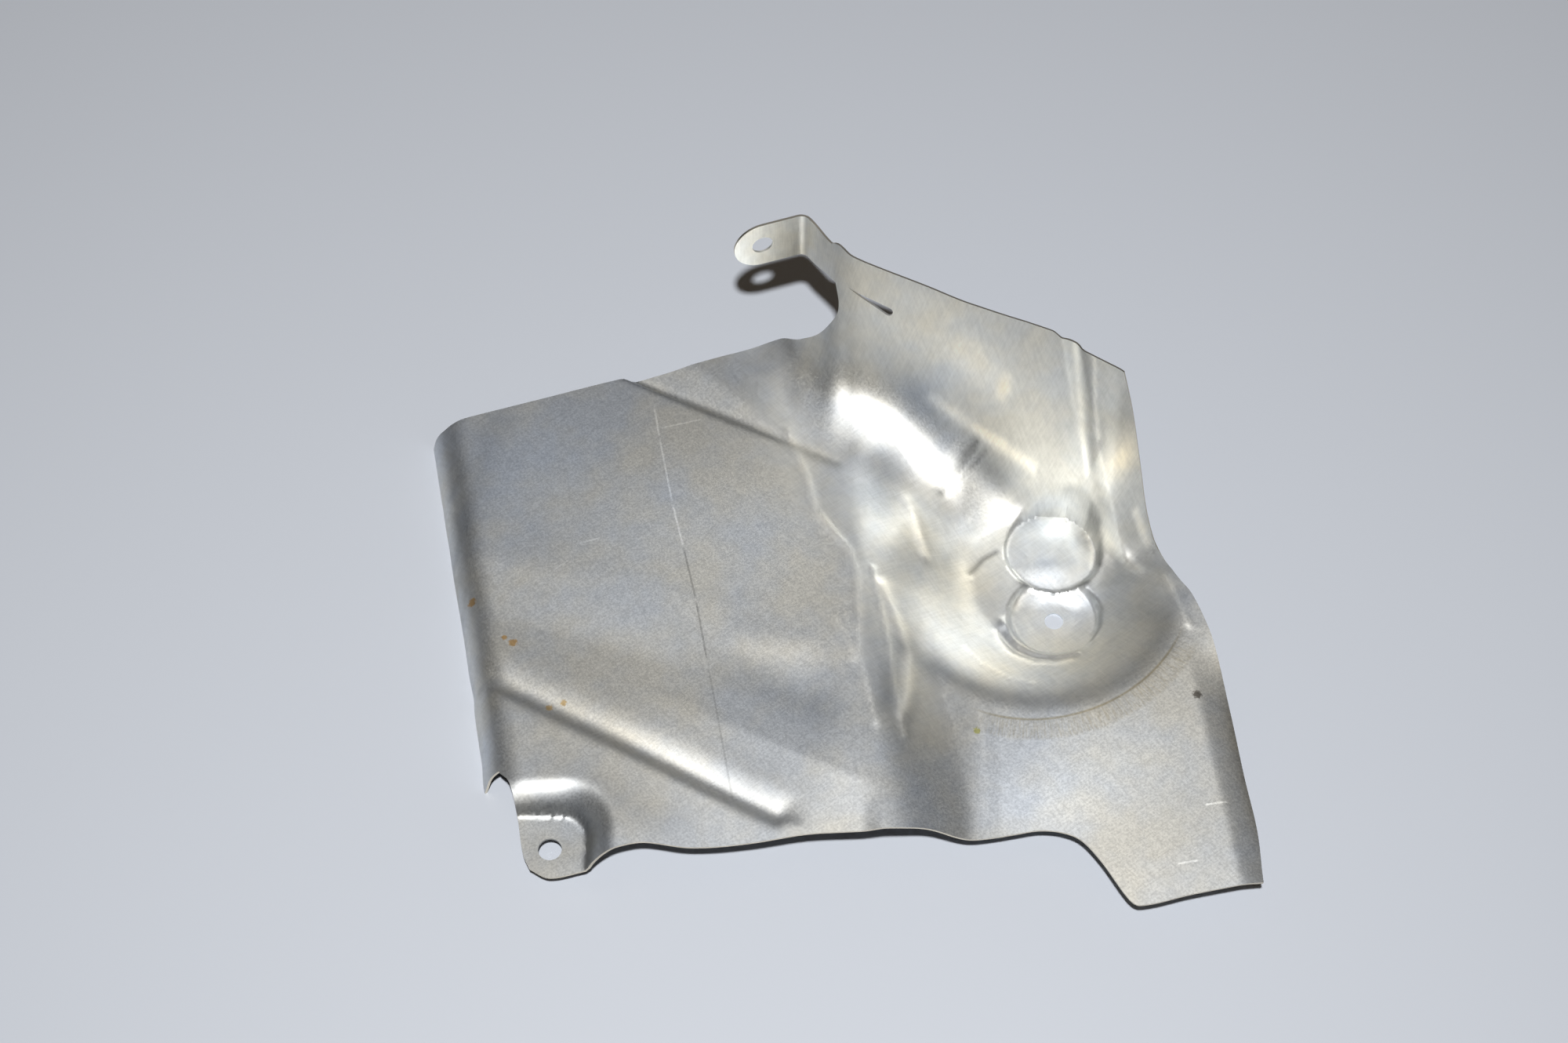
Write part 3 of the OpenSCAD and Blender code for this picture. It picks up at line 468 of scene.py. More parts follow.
def painted_light_and_shade_at(x, y):
    """Painted light and shade: colour that the sheet's own is multiplied by at each place, 1
    where nothing is painted.
    """
    shade, warmth = np.ones(np.shape(x)), np.zeros(np.shape(x))
    for _, half, change, points in FOLDS_AND_PAINTED_LINES:
        near = near_line(x, y, points, half)
        shade += change * near
        warmth += max(change, 0) * HIGHLIGHT_WARMTH * near
    for (at_x, at_y), (half_a, half_b), turn, change, warm in PAINTED_LIGHT_PLACES:
        a = math.radians(turn)
        along = (x - at_x) * math.cos(a) + (y - at_y) * math.sin(a)
        across = (y - at_y) * math.cos(a) - (x - at_x) * math.sin(a)
        near = np.exp(-(along / half_a) ** 2 - (across / half_b) ** 2)
        shade += change * near
        warmth += warm * near
    tint = 1 + np.clip(warmth, *WARMTH_LIMITS)[:, None] * np.array(WARM)
    return np.clip(shade, *SHADE_LIMITS)[:, None] * tint


# Plan of the grid
def steps(breaks, counts):
    parts = [np.linspace(a, b, n, endpoint=False)
             for a, b, n in zip(breaks, breaks[1:], counts)]
    return np.append(np.concatenate(parts), 1.0)


def sheet_points():
    """Rows of points of the pressed sheet's face, from the front edge to the wall top."""
    u, v = steps(COL_BREAKS, COL_COUNTS), steps(ROW_BREAKS, ROW_COUNTS)
    front_x = np.array([p[0] for p in FRONT], float)
    share = (front_x - front_x[0]) / (front_x[-1] - front_x[0])
    front = curve(np.column_stack([share, FRONT]), u)
    foot, back = curve(FOOT, u), curve(BACK, u)
    left, right = curve(LEFT, v), curve(RIGHT, v)
    U = u[None, :, None]
    side = mix(left[:, None, :], right[:, None, :], U)
    in_wall = v > FOOT_V + 1e-9

    def block(a, b, t):
        t = t[:, None, None]
        return (mix(a[None], b[None], t) + side
                - mix(mix(a[0], a[-1], U), mix(b[0], b[-1], U), t))

    flat = block(front, foot, v / FOOT_V)
    wall = block(foot, back, (v - FOOT_V) / (1 - FOOT_V))
    xy = np.where(in_wall[:, None, None], wall, flat)
    return np.dstack([xy, sheet_z(xy[..., 0], xy[..., 1])])


# Tools of Blender that work on what is selected
def nothing_selected():
    if bpy.context.object and bpy.context.object.mode != "OBJECT":
        bpy.ops.object.mode_set(mode="OBJECT")
    bpy.ops.object.select_all(action="DESELECT")


def only(obj):
    nothing_selected()
    bpy.context.view_layer.objects.active = obj
    obj.select_set(True)


def added(name):
    obj = bpy.context.object
    obj.name = obj.data.name = name
    return obj


def drawn_out(obj, line, rows):
    """Extrudes the edges through the points of line, once for each row of new points."""
    only(obj)
    bpy.ops.object.mode_set(mode="EDIT")
    bpy.ops.mesh.select_mode(type="EDGE")
    bpy.ops.mesh.select_all(action="DESELECT")
    bm = bmesh.from_edit_mesh(obj.data)
    bm.verts.ensure_lookup_table()
    chain = [bm.verts[k] for k in line]
    for a, b in zip(chain, chain[1:]):
        bm.edges.get((a, b)).select = True
    bm.select_flush_mode()
    for row in rows:
        bmesh.update_edit_mesh(obj.data)
        old = [v.co.copy() for v in chain]
        bpy.ops.mesh.extrude_edges_move()
        bm = bmesh.from_edit_mesh(obj.data)
        new = [v for v in bm.verts if v.select]
        chain = [min(new, key=lambda v, co=co: (v.co - co).length) for co in old]
        for v, co in zip(chain, row):
            v.co = Vector(co) * MM
    bmesh.update_edit_mesh(obj.data)
    bpy.ops.object.mode_set(mode="OBJECT")

# The pressed shield
def roll_rows(points):
    """Rows that carry the left edge on round the bend, down to the table."""
    (ax, ay), (bx, by) = ROLL_EDGE
    out = np.array([-(by - ay), bx - ax]) / math.hypot(bx - ax, by - ay)
    # the roll begins at the outer end of the notch
    notch = LEFT[4][1:]
    start, end = math.asin((ROLL_W - roll_in(*notch)) / ROLL_R), math.radians(ROLL_ANGLE)
    edge = points[ROW_COUNTS[0]:, 0]
    rows = []
    for k in range(1, ROLL_STEPS + DOWN_STEPS + 1):
        a = mix(start, end, min(k, ROLL_STEPS) / ROLL_STEPS)
        go = ROLL_R * (math.sin(a) - math.sin(start))
        z = edge[:, 2] - ROLL_R * (math.cos(start) - math.cos(a))
        foot = SHEET_T * math.cos(end) + TABLE_GAP
        down = (z - foot) * max(0, k - ROLL_STEPS) / DOWN_STEPS
        flat = edge[:, :2] + out * (go + down[:, None] / math.tan(end))
        rows.append(np.column_stack([flat, z - down]))
    return rows


def strip_rows(low, high):
    """Rows of the strip, the fold and the round tab, from the seam on the wall outwards."""
    turn = math.radians(STRIP_TURN)
    way = np.array([math.cos(turn), math.sin(turn)])
    side = np.array([-way[1], way[0]])
    fold_tan = FOLD_R * math.tan(math.radians(TAB_TURN / 2))
    start = np.array(FOLD_AT) - fold_tan * way
    mid, end_r = TAB_Z + TAB_H / 2, TAB_H / 2
    ends = []
    for s in np.arange(1, STRIP_STEPS) / STRIP_STEPS:
        t = ease(0, 1, s)
        ends.append(((*mix(low[:2], start, s), mix(low[2], TAB_Z, t)),
                     (*mix(high[:2], start, s), mix(high[2], TAB_Z + TAB_H, t))))
    for k in range(FOLD_STEPS + 1):
        a = math.radians(TAB_TURN) * k / FOLD_STEPS
        p = start + FOLD_R * (math.sin(a) * way + (1 - math.cos(a)) * side)
        ends.append(((*p, TAB_Z), (*p, TAB_Z + TAB_H)))
    for s in np.linspace(fold_tan, TAB_REACH, TAB_STEPS + 1)[1:]:
        p = FOLD_AT + s * TAB_WAY
        ends.append(((*p, TAB_Z), (*p, TAB_Z + TAB_H)))
    for a in np.radians(TAB_END_TURNS):
        p = FOLD_AT + (TAB_REACH + end_r * math.sin(a)) * TAB_WAY
        ends.append(((*p, mid - end_r * math.cos(a)), (*p, mid + end_r * math.cos(a))))
    n = COL_COUNTS[2]
    return [[mix(np.array(a), np.array(b), k / n) for k in range(n + 1)] for a, b in ends]


def cut(obj, cutter):
    mod = obj.modifiers.new("cut", "BOOLEAN")
    mod.operation, mod.solver, mod.object = "DIFFERENCE", "EXACT", cutter
    only(obj)
    bpy.ops.object.modifier_apply(modifier=mod.name)
    bpy.data.objects.remove(cutter)


def drill(at, d, turn=(0, 0, 0)):
    nothing_selected()
    bpy.ops.mesh.primitive_cylinder_add(
        vertices=DRILL_SIDES, radius=d / 2 * MM, depth=TOOL_LEN * MM,
        location=[c * MM for c in at], rotation=turn)
    return added("drill")


def slit_punch():
    """Punch for the slit, which is pointed at its left end and round at its right."""
    nothing_selected()
    r = SLIT_W / 2
    round_x = SLIT_LEN / 2 - r
    outline = [(-SLIT_LEN / 2, 0.0)] + [
        (round_x + r * math.cos(math.radians(a)), r * math.sin(math.radians(a)))
        for a in range(-100, 101, 20)]
    mesh = bpy.data.meshes.new("slit_punch")
    n = len(outline)
    verts = [(x * MM, y * MM, z * MM) for z in (-TOOL_LEN / 2, TOOL_LEN / 2) for x, y in outline]
    faces = [tuple(range(n - 1, -1, -1)), tuple(range(n, 2 * n))]
    faces += [(k, (k + 1) % n, (k + 1) % n + n, k + n) for k in range(n)]
    mesh.from_pydata(verts, [], faces)
    obj = bpy.data.objects.new("slit_punch", mesh)
    bpy.context.scene.collection.objects.link(obj)
    rot = (Matrix.Rotation(math.radians(SLIT_TURN), 4, "Z")
           @ Matrix.Rotation(math.radians(SLIT_LEAN), 4, "X")
           @ Matrix.Rotation(math.radians(SLIT_DIP), 4, "Z"))
    obj.matrix_world = Matrix.Translation(Vector(SLIT_AT) * MM) @ rot
    return obj


def pressed_sheet():
    """The grid, pressed to shape, with its rolled edge and its folded tab."""
    points = sheet_points()
    rows, cols = points.shape[0] - 1, points.shape[1] - 1
    nothing_selected()
    bpy.ops.mesh.primitive_grid_add(x_subdivisions=cols, y_subdivisions=rows, size=1)
    shield = added("shield")
    mesh = shield.data
    flat = np.empty(len(mesh.vertices) * 3)
    mesh.vertices.foreach_get("co", flat)
    flat = flat.reshape(-1, 3)
    i = np.rint((flat[:, 0] + 0.5) * cols).astype(int)
    j = np.rint((flat[:, 1] + 0.5) * rows).astype(int)
    mesh.vertices.foreach_set("co", (points[j, i] * MM).ravel())
    mesh.update()
    number = {}
    for k, (a, b) in enumerate(zip(i, j)):
        number[int(a), int(b)] = k
    drawn_out(shield, [number[0, b] for b in range(ROW_COUNTS[0], rows + 1)], roll_rows(points))
    seam_a = sum(COL_COUNTS[:2])
    seam = range(seam_a, seam_a + COL_COUNTS[2] + 1)
    drawn_out(shield, [number[a, rows] for a in seam],
              strip_rows(points[rows, seam[0]], points[rows, seam[-1]]))
    return shield


# Looks of the sheet: sizes of its patterns, places and colours in its clouds, and its scuffs
# with their turn, length and width, drawn coarser than the real ones so that they show
CLOUD, BLOTCH, GRAIN, RAGGED = 31.25, 3.846, 0.714, 0.667
COOL_CLOUD, MID_CLOUD, WARM_CLOUD = (0.36, "#C3C7CB"), (0.5, "#C9CAC8"), (0.64, "#CECCC4")
SCUFFS = ((34, 7, 0.6), (-52, 6, 0.7))
# Range of the worn pattern and its tones, range of the grain and its roughness, strength and
# depth of the relief, and the palest that the metal gets
WEAR, WEAR_TONES, GRAIN_RANGE, ROUGHNESS = (1.2, 1.8), (0.925, 1.07), (0.4, 0.6), (0.46, 0.52)
RELIEF, RELIEF_DEPTH, PALEST = 0.09, 0.1, 0.94
# Scratches and spots: half width, share of it that is full, ragged edge, fade and cover
SCRATCH_W, SCRATCH_FULL = 0.35, 0.8
SPOT_RAGGED, SPOT_FADE, SPOT_COVER = 0.7, (0.7, 1.1), 0.8
# Ring of draw marks: gap and length of a mark, range of its pattern and how strongly it shows,
# softness of the band and, in radians, of its ends, the fine line along its inner rim, and the
# brown that it tints the sheet with
TICK_GAP, TICK_LEN, TICK_RANGE, TICK_TONES = 0.575, 5, (0.42, 0.62), (0.12, 0.55)
RING_SOFT, RING_ENDS, RING_LINE = 0.6, (-0.15, 0.05), (0.1, 0.7)
RING_BROWN = (0.7, 0.64, 0.52)


# Materials
def linear(colour):
    """sRGB hex to the linear values that shader sockets take."""
    parts = [int(colour[k:k + 2], 16) / 255 for k in (1, 3, 5)]
    return tuple(c / 12.92 if c <= 0.04045 else ((c + 0.055) / 1.055) ** 2.4
                 for c in parts) + (1.0,)


def new_material(name):
    mat = bpy.data.materials.new(name)
    mat.use_nodes = True
    mat.node_tree.nodes.clear()
    return mat, mat.node_tree


def node(tree, kind, settings=None, **links):
    """Adds a node; links maps an input's name or number to a value or to another's output."""
    made = tree.nodes.new(kind)
    for key, value in (settings or {}).items():
        setattr(made, key, value)
    for key, value in links.items():
        socket = made.inputs[int(key[1:])] if key[0] == "i" and key[1:].isdigit() \
            else made.inputs[key.replace("_", " ")]
        if isinstance(value, bpy.types.NodeSocket):
            tree.links.new(value, socket)
        else:
            socket.default_value = value
    return made

def cells(size):
    """Scale of a noise whose cells are about size millimetres wide."""
    return 1 / (size * MM)


def scuffs(t, coords, turn, long, fine):
    """Short scuffs that all run one way; long and fine are their sizes in millimetres."""
    turned = node(t, "ShaderNodeMapping", {"vector_type": "TEXTURE"}, Vector=coords,
                  Rotation=(0, 0, math.radians(turn)), Scale=(long * MM, fine * MM, long * MM))
    return node(t, "ShaderNodeTexNoise", None, Vector=turned.outputs[0], Scale=1.0,
                Detail=2.0).outputs["Fac"]


def on_line(t, coords, a, b, half):
    """1 on the straight line from a to b, in plan and in millimetres, and 0 away from it."""
    mid = ((a[0] + b[0]) / 2 * MM, (a[1] + b[1]) / 2 * MM, 0)
    size = (math.dist(a, b) / 2 * MM, half * MM, 1)
    framed = node(t, "ShaderNodeMapping", {"vector_type": "TEXTURE"}, Vector=coords,
                  Location=mid, Rotation=(0, 0, math.atan2(b[1] - a[1], b[0] - a[0])), Scale=size)
    out = node(t, "ShaderNodeVectorMath", {"operation": "ABSOLUTE"}, i0=framed.outputs[0])
    parts = node(t, "ShaderNodeSeparateXYZ", None, i0=out.outputs[0])
    beyond = node(t, "ShaderNodeMath", {"operation": "MAXIMUM"}, i0=parts.outputs[0],
                  i1=parts.outputs[1])
    return node(t, "ShaderNodeMapRange", None, Value=beyond.outputs[0], From_Min=SCRATCH_FULL,
                From_Max=1.0, To_Min=1.0, To_Max=0.0).outputs[0]


def scratched(t, coords, base):
    """The base colour with the long scratches on it."""
    for points, light in SCRATCHES:
        for a, b in zip(points, points[1:]):
            mark = on_line(t, coords, a, b, SCRATCH_W)
            paler = node(t, "ShaderNodeVectorMath", {"operation": "SCALE"}, i0=base, Scale=light)
            base = node(t, "ShaderNodeMix", {"data_type": "RGBA"}, i0=mark, i6=base,
                        i7=paler.outputs[0]).outputs[2]
    return base


def in_plan(t, coords, middle, unit):
    """Places from a middle in steps of unit millimetres, and how far away from it they are."""
    framed = node(t, "ShaderNodeMapping", {"vector_type": "TEXTURE"}, Vector=coords,
                  Location=(middle[0] * MM, middle[1] * MM, 0), Scale=(unit * MM, unit * MM, 1))
    flat = node(t, "ShaderNodeVectorMath", {"operation": "MULTIPLY"}, i0=framed.outputs[0],
                i1=(1, 1, 0))
    far = node(t, "ShaderNodeVectorMath", {"operation": "LENGTH"}, i0=flat.outputs[0])
    return framed.outputs[0], far.outputs["Value"]


def spotted(t, coords, base):
    """The base colour with ragged spots of rust and dirt on it."""
    ragged = node(t, "ShaderNodeTexNoise", None, Vector=coords, Scale=cells(RAGGED), Detail=2.0)
    edge = node(t, "ShaderNodeMapRange", None, Value=ragged.outputs["Fac"], To_Min=-SPOT_RAGGED,
                To_Max=SPOT_RAGGED)
    for middle, radius, colour in SPOTS:
        far = in_plan(t, coords, middle, radius)[1]
        reach = node(t, "ShaderNodeMath", {"operation": "ADD"}, i0=far, i1=edge.outputs[0])
        mark = node(t, "ShaderNodeMapRange", None, Value=reach.outputs[0], From_Min=SPOT_FADE[0],
                    From_Max=SPOT_FADE[1], To_Min=SPOT_COVER, To_Max=0.0)
        base = node(t, "ShaderNodeMix", {"data_type": "RGBA"}, i0=mark.outputs[0], i6=base,
                    i7=linear(colour)).outputs[2]
    return base


def close_to(t, value, middle, full, none):
    """1 up to a distance of full from the middle, and 0 from a distance of none on."""
    gap = node(t, "ShaderNodeMath", {"operation": "SUBTRACT"}, i0=value, i1=middle)
    away = node(t, "ShaderNodeMath", {"operation": "ABSOLUTE"}, i0=gap.outputs[0])
    return node(t, "ShaderNodeMapRange", None, Value=away.outputs[0], From_Min=full,
                From_Max=none, To_Min=1.0, To_Max=0.0).outputs[0]


def draw_ringed(t, coords, base):
    """The base colour with a brown ring of short marks that point to the middle of the bowl."""
    place, far = in_plan(t, coords, RING_AT, 1)
    parts = node(t, "ShaderNodeSeparateXYZ", None, i0=place)
    turn = node(t, "ShaderNodeMath", {"operation": "ARCTAN2"}, i0=parts.outputs[1],
                i1=parts.outputs[0]).outputs[0]
    middle, half = sum(RING_R) / 2, (RING_R[1] - RING_R[0]) / 2
    mid_turn, half_turn = (math.radians(a) for a in RING_TURN)
    way_round = node(t, "ShaderNodeCombineXYZ", None, X=turn, Y=far)
    stretched = node(t, "ShaderNodeVectorMath", {"operation": "MULTIPLY"},
                     i0=way_round.outputs[0], i1=(middle / TICK_GAP, 1 / TICK_LEN, 1))
    ticks = node(t, "ShaderNodeTexNoise", None, Vector=stretched.outputs[0], Scale=1.0,
                 Detail=2.0)
    dark = node(t, "ShaderNodeMapRange", None, Value=ticks.outputs["Fac"],
                From_Min=TICK_RANGE[0], From_Max=TICK_RANGE[1], To_Min=TICK_TONES[0],
                To_Max=TICK_TONES[1])
    band = node(t, "ShaderNodeMath", {"operation": "MULTIPLY"}, i0=dark.outputs[0],
                i1=close_to(t, far, middle, half - RING_SOFT, half + RING_SOFT))
    rim = node(t, "ShaderNodeMath", {"operation": "MAXIMUM"}, i0=band.outputs[0],
               i1=close_to(t, far, RING_R[0], *RING_LINE))
    ends = close_to(t, turn, mid_turn, *(half_turn + a for a in RING_ENDS))
    share = node(t, "ShaderNodeMath", {"operation": "MULTIPLY"}, i0=rim.outputs[0], i1=ends)
    brown = node(t, "ShaderNodeVectorMath", {"operation": "MULTIPLY"}, i0=base, i1=RING_BROWN)
    return node(t, "ShaderNodeMix", {"data_type": "RGBA"}, i0=share.outputs[0], i6=base,
                i7=brown.outputs[0]).outputs[2]


def clouded(t, coords):
    """Pale grey of the sheet, which drifts between a cooler and a warmer tone."""
    cloud = node(t, "ShaderNodeTexNoise", None, Vector=coords, Scale=cells(CLOUD), Detail=3.0,
                 Roughness=0.6)
    ramp = node(t, "ShaderNodeValToRGB", None, Fac=cloud.outputs["Fac"])
    stops = ramp.color_ramp.elements
    stops[0].position, stops[0].color = COOL_CLOUD[0], linear(COOL_CLOUD[1])
    stops[1].position, stops[1].color = WARM_CLOUD[0], linear(WARM_CLOUD[1])
    middle = stops.new(MID_CLOUD[0])
    middle.color = linear(MID_CLOUD[1])
    return ramp.outputs["Color"]


def bright_sheet():
    """Satin rolled steel: greyish with warm and cool clouds, and dulled by crossing scuffs."""
    mat, t = new_material("satin_rolled_steel_sheet")
    coords = node(t, "ShaderNodeTexCoord").outputs["Object"]
    cross_a, cross_b = (scuffs(t, coords, *scuff) for scuff in SCUFFS)
    hatch = node(t, "ShaderNodeMath", {"operation": "ADD"}, i0=cross_a, i1=cross_b)
    blotch = node(t, "ShaderNodeTexNoise", None, Vector=coords, Scale=cells(BLOTCH), Detail=4.0,
                  Roughness=0.7)
    worn = node(t, "ShaderNodeMath", {"operation": "ADD"}, i0=hatch.outputs[0],
                i1=blotch.outputs["Fac"])
    mottle = node(t, "ShaderNodeMapRange", None, Value=worn.outputs[0], From_Min=WEAR[0],
                  From_Max=WEAR[1], To_Min=WEAR_TONES[0], To_Max=WEAR_TONES[1])
    # painted light and shade: highlights, reflections and shade held at the points of the mesh
    shade = node(t, "ShaderNodeAttribute", {"attribute_name": "shade"}).outputs["Vector"]
    with_painted_light = node(t, "ShaderNodeVectorMath", {"operation": "MULTIPLY"}, i0=clouded(t, coords),
                   i1=shade)
    base = node(t, "ShaderNodeVectorMath", {"operation": "SCALE"}, i0=with_painted_light.outputs[0],
                Scale=mottle.outputs[0])
    capped = node(t, "ShaderNodeVectorMath", {"operation": "MINIMUM"}, i0=base.outputs[0],
                  i1=(PALEST, PALEST, PALEST))
    ringed = draw_ringed(t, coords, capped.outputs[0])
    marked = spotted(t, coords, scratched(t, coords, ringed))
    grain = node(t, "ShaderNodeTexNoise", None, Vector=coords, Scale=cells(GRAIN), Detail=3.0)
    rough = node(t, "ShaderNodeMapRange", None, Value=grain.outputs["Fac"],
                 From_Min=GRAIN_RANGE[0], From_Max=GRAIN_RANGE[1], To_Min=ROUGHNESS[0],
                 To_Max=ROUGHNESS[1])
    relief = node(t, "ShaderNodeBump", None, Height=hatch.outputs[0], Strength=RELIEF,
                  Distance=RELIEF_DEPTH * MM)
    shader = node(t, "ShaderNodeBsdfPrincipled", None, Base_Color=marked, Metallic=1.0,
                  Roughness=rough.outputs[0], Normal=relief.outputs[0])
    node(t, "ShaderNodeOutputMaterial", None, Surface=shader.outputs[0])
    return mat


def sheared_edge():
    """Cut edge of the steel: a thin line, a little warmer and shinier than the face."""
    mat, t = new_material("sheared_steel_edge")
    shader = node(t, "ShaderNodeBsdfPrincipled", None, Base_Color=linear("#CFC8B8"),
                  Metallic=1.0, Roughness=0.35)
    node(t, "ShaderNodeOutputMaterial", None, Surface=shader.outputs[0])
    return mat


def finished_shield():
    """The pressed sheet with its materials, its thickness, its holes and its painted light and
    shade.
    """
    sheet = pressed_sheet()
    sheet.data.materials.append(bright_sheet())
    sheet.data.materials.append(sheared_edge())
    only(sheet)
    bpy.ops.object.shade_smooth()
    behind = sheet.modifiers.new("sheet thickness", "SOLIDIFY")
    behind.thickness, behind.offset = SHEET_T * MM, -1.0
    behind.material_offset_rim = 1
    bpy.ops.object.modifier_apply(modifier=behind.name)
    tab_at = (*(FOLD_AT + TAB_REACH * TAB_WAY), TAB_Z + TAB_H / 2)
    cut(sheet, drill((*PAD_AT, PAD_H), PAD_HOLE_D))
    cut(sheet, drill((0, 0, 0), POCKET_HOLE_D))
    cut(sheet, drill(tab_at, TAB_HOLE_D, (math.pi / 2, 0, TAB_HEADING)))
    cut(sheet, slit_punch())
    only(sheet)
    bpy.ops.object.shade_smooth_by_angle(angle=math.radians(40))
    points = np.empty(len(sheet.data.vertices) * 3)
    sheet.data.vertices.foreach_get("co", points)
    points = points.reshape(-1, 3) / MM
    painted_tones = sheet.data.attributes.new("shade", "FLOAT_VECTOR", "POINT")
    painted_tones.data.foreach_set("vector", painted_light_and_shade_at(points[:, 0], points[:, 1]).ravel())
    return sheet


shield = finished_shield()
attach(shield, "root")
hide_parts("pressed_shield")


# Table, light and camera
AIM = Vector((-89.4, 40.2, 0)) * MM
CAMERA_AT = Vector((-89.4, -445.5, 733.8)) * MM
# Focal length, width of the sensor, and the nearest that the camera sees
LENS, SENSOR, NEAREST = 59.4, 36.0, 10
# Lamp: how far above the camera it is, how much farther away, its size and its power in watts
LAMP_ABOVE, LAMP_FARTHER, LAMP_SIZE, LAMP_POWER, LAMP_COLOUR = 105, 1.25, 40, 18.8, "#FFFDFA"
# Table: its size and colour, and how its tone rises from the front to the back, painted light
# that evens out the lamp's fall-off
TABLE_SIZE, TABLE_COLOUR = 6000, "#A7ADB7"
TABLE_FRONT_TO_BACK, TABLE_PAINTED_LIGHT = (-200, 350), (0.9, 1.15)
# Plain backdrop that the camera sees far from the shield, where the lamp fades
BACKDROP, TABLE_MIDDLE, BACKDROP_SPAN = "#B9BDC5", (-80, 0, 0), (450, 950)
# Room that the metal mirrors: the way to its light part, how the light grows toward it and its
# strength, and the fill from all sides
GLOW_WAY, GLOW_LEAN, GLOW, GLOW_COLOUR = (0, 0.52, 0.854), (0.3, 1.0), (0.03, 0.25), "#F4F7FF"
FILL, FILL_COLOUR = 0.08, "#FFDDB0"


def pale_laminate():
    """Satin laminate: a plain pale grey with a soft sheen, a little darker in front, painted to
    even out the lamp's fall-off.
    """
    mat, t = new_material("pale_satin_laminate")
    place = node(t, "ShaderNodeSeparateXYZ", None,
                 i0=node(t, "ShaderNodeTexCoord").outputs["Object"])
    tone = node(t, "ShaderNodeMapRange", None, Value=place.outputs[1],
                From_Min=TABLE_FRONT_TO_BACK[0] * MM, From_Max=TABLE_FRONT_TO_BACK[1] * MM,
                To_Min=TABLE_PAINTED_LIGHT[0], To_Max=TABLE_PAINTED_LIGHT[1])
    colour = node(t, "ShaderNodeVectorMath", {"operation": "SCALE"},
                  i0=linear(TABLE_COLOUR)[:3], Scale=tone.outputs[0])
    shader = node(t, "ShaderNodeBsdfPrincipled", None, Base_Color=colour.outputs[0],
                  Roughness=0.5)
    spot = node(t, "ShaderNodeCombineXYZ", None, X=place.outputs[0], Y=place.outputs[1])
    gap = node(t, "ShaderNodeVectorMath", {"operation": "DISTANCE"}, i0=spot.outputs[0],
               i1=Vector(TABLE_MIDDLE) * MM)
    faded = node(t, "ShaderNodeMapRange", {"interpolation_type": "SMOOTHSTEP"},
                 Value=gap.outputs["Value"], From_Min=BACKDROP_SPAN[0] * MM,
                 From_Max=BACKDROP_SPAN[1] * MM)
    seen = node(t, "ShaderNodeMath", {"operation": "MULTIPLY"}, i0=faded.outputs[0],
                i1=node(t, "ShaderNodeLightPath").outputs["Is Camera Ray"])
    plain = node(t, "ShaderNodeEmission", None, Color=linear(BACKDROP))
    both = node(t, "ShaderNodeMixShader", None, Fac=seen.outputs[0], i1=shader.outputs[0],
                i2=plain.outputs[0])
    node(t, "ShaderNodeOutputMaterial", None, Surface=both.outputs[0])
    return mat


def table_top():
    nothing_selected()
    bpy.ops.mesh.primitive_plane_add(size=TABLE_SIZE * MM)
    table = added("table_top")
    table.data.materials.append(pale_laminate())


def key_lamp(look):
    """One small lamp above the camera, as a flash is, aimed at the middle of the picture."""
    above = look.cross(Vector((0, 0, 1))).normalized().cross(look)
    data = bpy.data.lights.new("key", "AREA")
    data.shape, data.size = "DISK", LAMP_SIZE * MM
    data.energy, data.color = LAMP_POWER, linear(LAMP_COLOUR)[:3]
    lamp = bpy.data.objects.new("key", data)
    bpy.context.scene.collection.objects.link(lamp)
    lamp.location = AIM + (CAMERA_AT + above * LAMP_ABOVE * MM - AIM) * LAMP_FARTHER
    lamp.rotation_euler = (AIM - lamp.location).to_track_quat("-Z", "Y").to_euler()


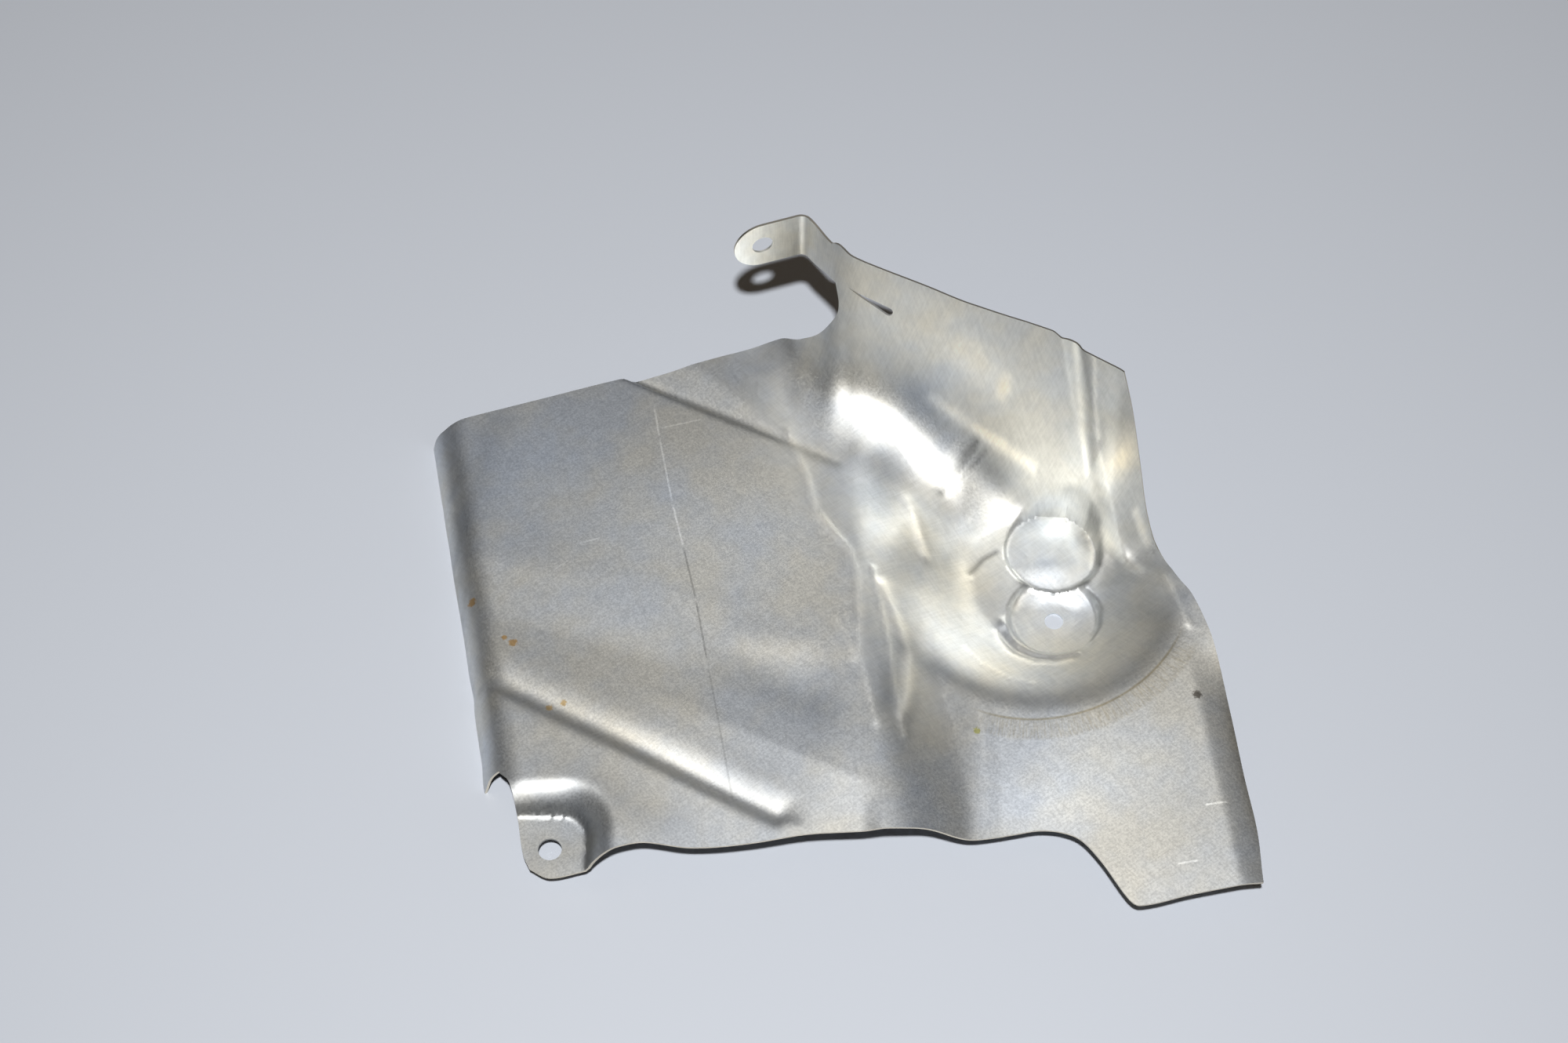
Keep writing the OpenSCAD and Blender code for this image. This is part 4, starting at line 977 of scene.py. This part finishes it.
def room():
    """World: a warm fill, a cool glow behind that metal mirrors, and a plain backdrop."""
    world = bpy.data.worlds.new("room")
    bpy.context.scene.world = world
    world.use_nodes = True
    t = world.node_tree
    t.nodes.clear()
    way = node(t, "ShaderNodeTexCoord").outputs["Generated"]
    lean = node(t, "ShaderNodeVectorMath", {"operation": "DOT_PRODUCT"}, i0=way, i1=GLOW_WAY)
    glow = node(t, "ShaderNodeMapRange", {"interpolation_type": "SMOOTHSTEP"},
                Value=lean.outputs["Value"], From_Min=GLOW_LEAN[0], From_Max=GLOW_LEAN[1],
                To_Min=GLOW[0], To_Max=GLOW[1])
    rays = node(t, "ShaderNodeLightPath")
    mirrored, seen = rays.outputs["Is Glossy Ray"], rays.outputs["Is Camera Ray"]
    strength = node(t, "ShaderNodeMix", {"data_type": "FLOAT"}, i0=mirrored, i2=FILL,
                    i3=glow.outputs[0])
    tint = node(t, "ShaderNodeMix", {"data_type": "RGBA"}, i0=mirrored,
                i6=linear(FILL_COLOUR), i7=linear(GLOW_COLOUR))
    colour = node(t, "ShaderNodeMix", {"data_type": "RGBA"}, i0=seen, i6=tint.outputs[2],
                  i7=linear(BACKDROP))
    power = node(t, "ShaderNodeMix", {"data_type": "FLOAT"}, i0=seen, i2=strength.outputs[0],
                 i3=1.0)
    sky = node(t, "ShaderNodeBackground", None, Color=colour.outputs[2],
               Strength=power.outputs[0])
    node(t, "ShaderNodeOutputWorld", None, Surface=sky.outputs[0])


def picture_camera(look):
    camera = bpy.data.objects.new("camera", bpy.data.cameras.new("camera"))
    bpy.context.scene.collection.objects.link(camera)
    camera.data.lens, camera.data.sensor_width = LENS, SENSOR
    camera.data.clip_start = NEAREST * MM
    camera.location = CAMERA_AT
    camera.rotation_euler = look.to_track_quat("-Z", "Y").to_euler()
    bpy.context.scene.camera = camera


table_top()
line_of_sight = (AIM - CAMERA_AT).normalized()
key_lamp(line_of_sight)
room()
picture_camera(line_of_sight)
bpy.context.scene.view_settings.view_transform = "Standard"
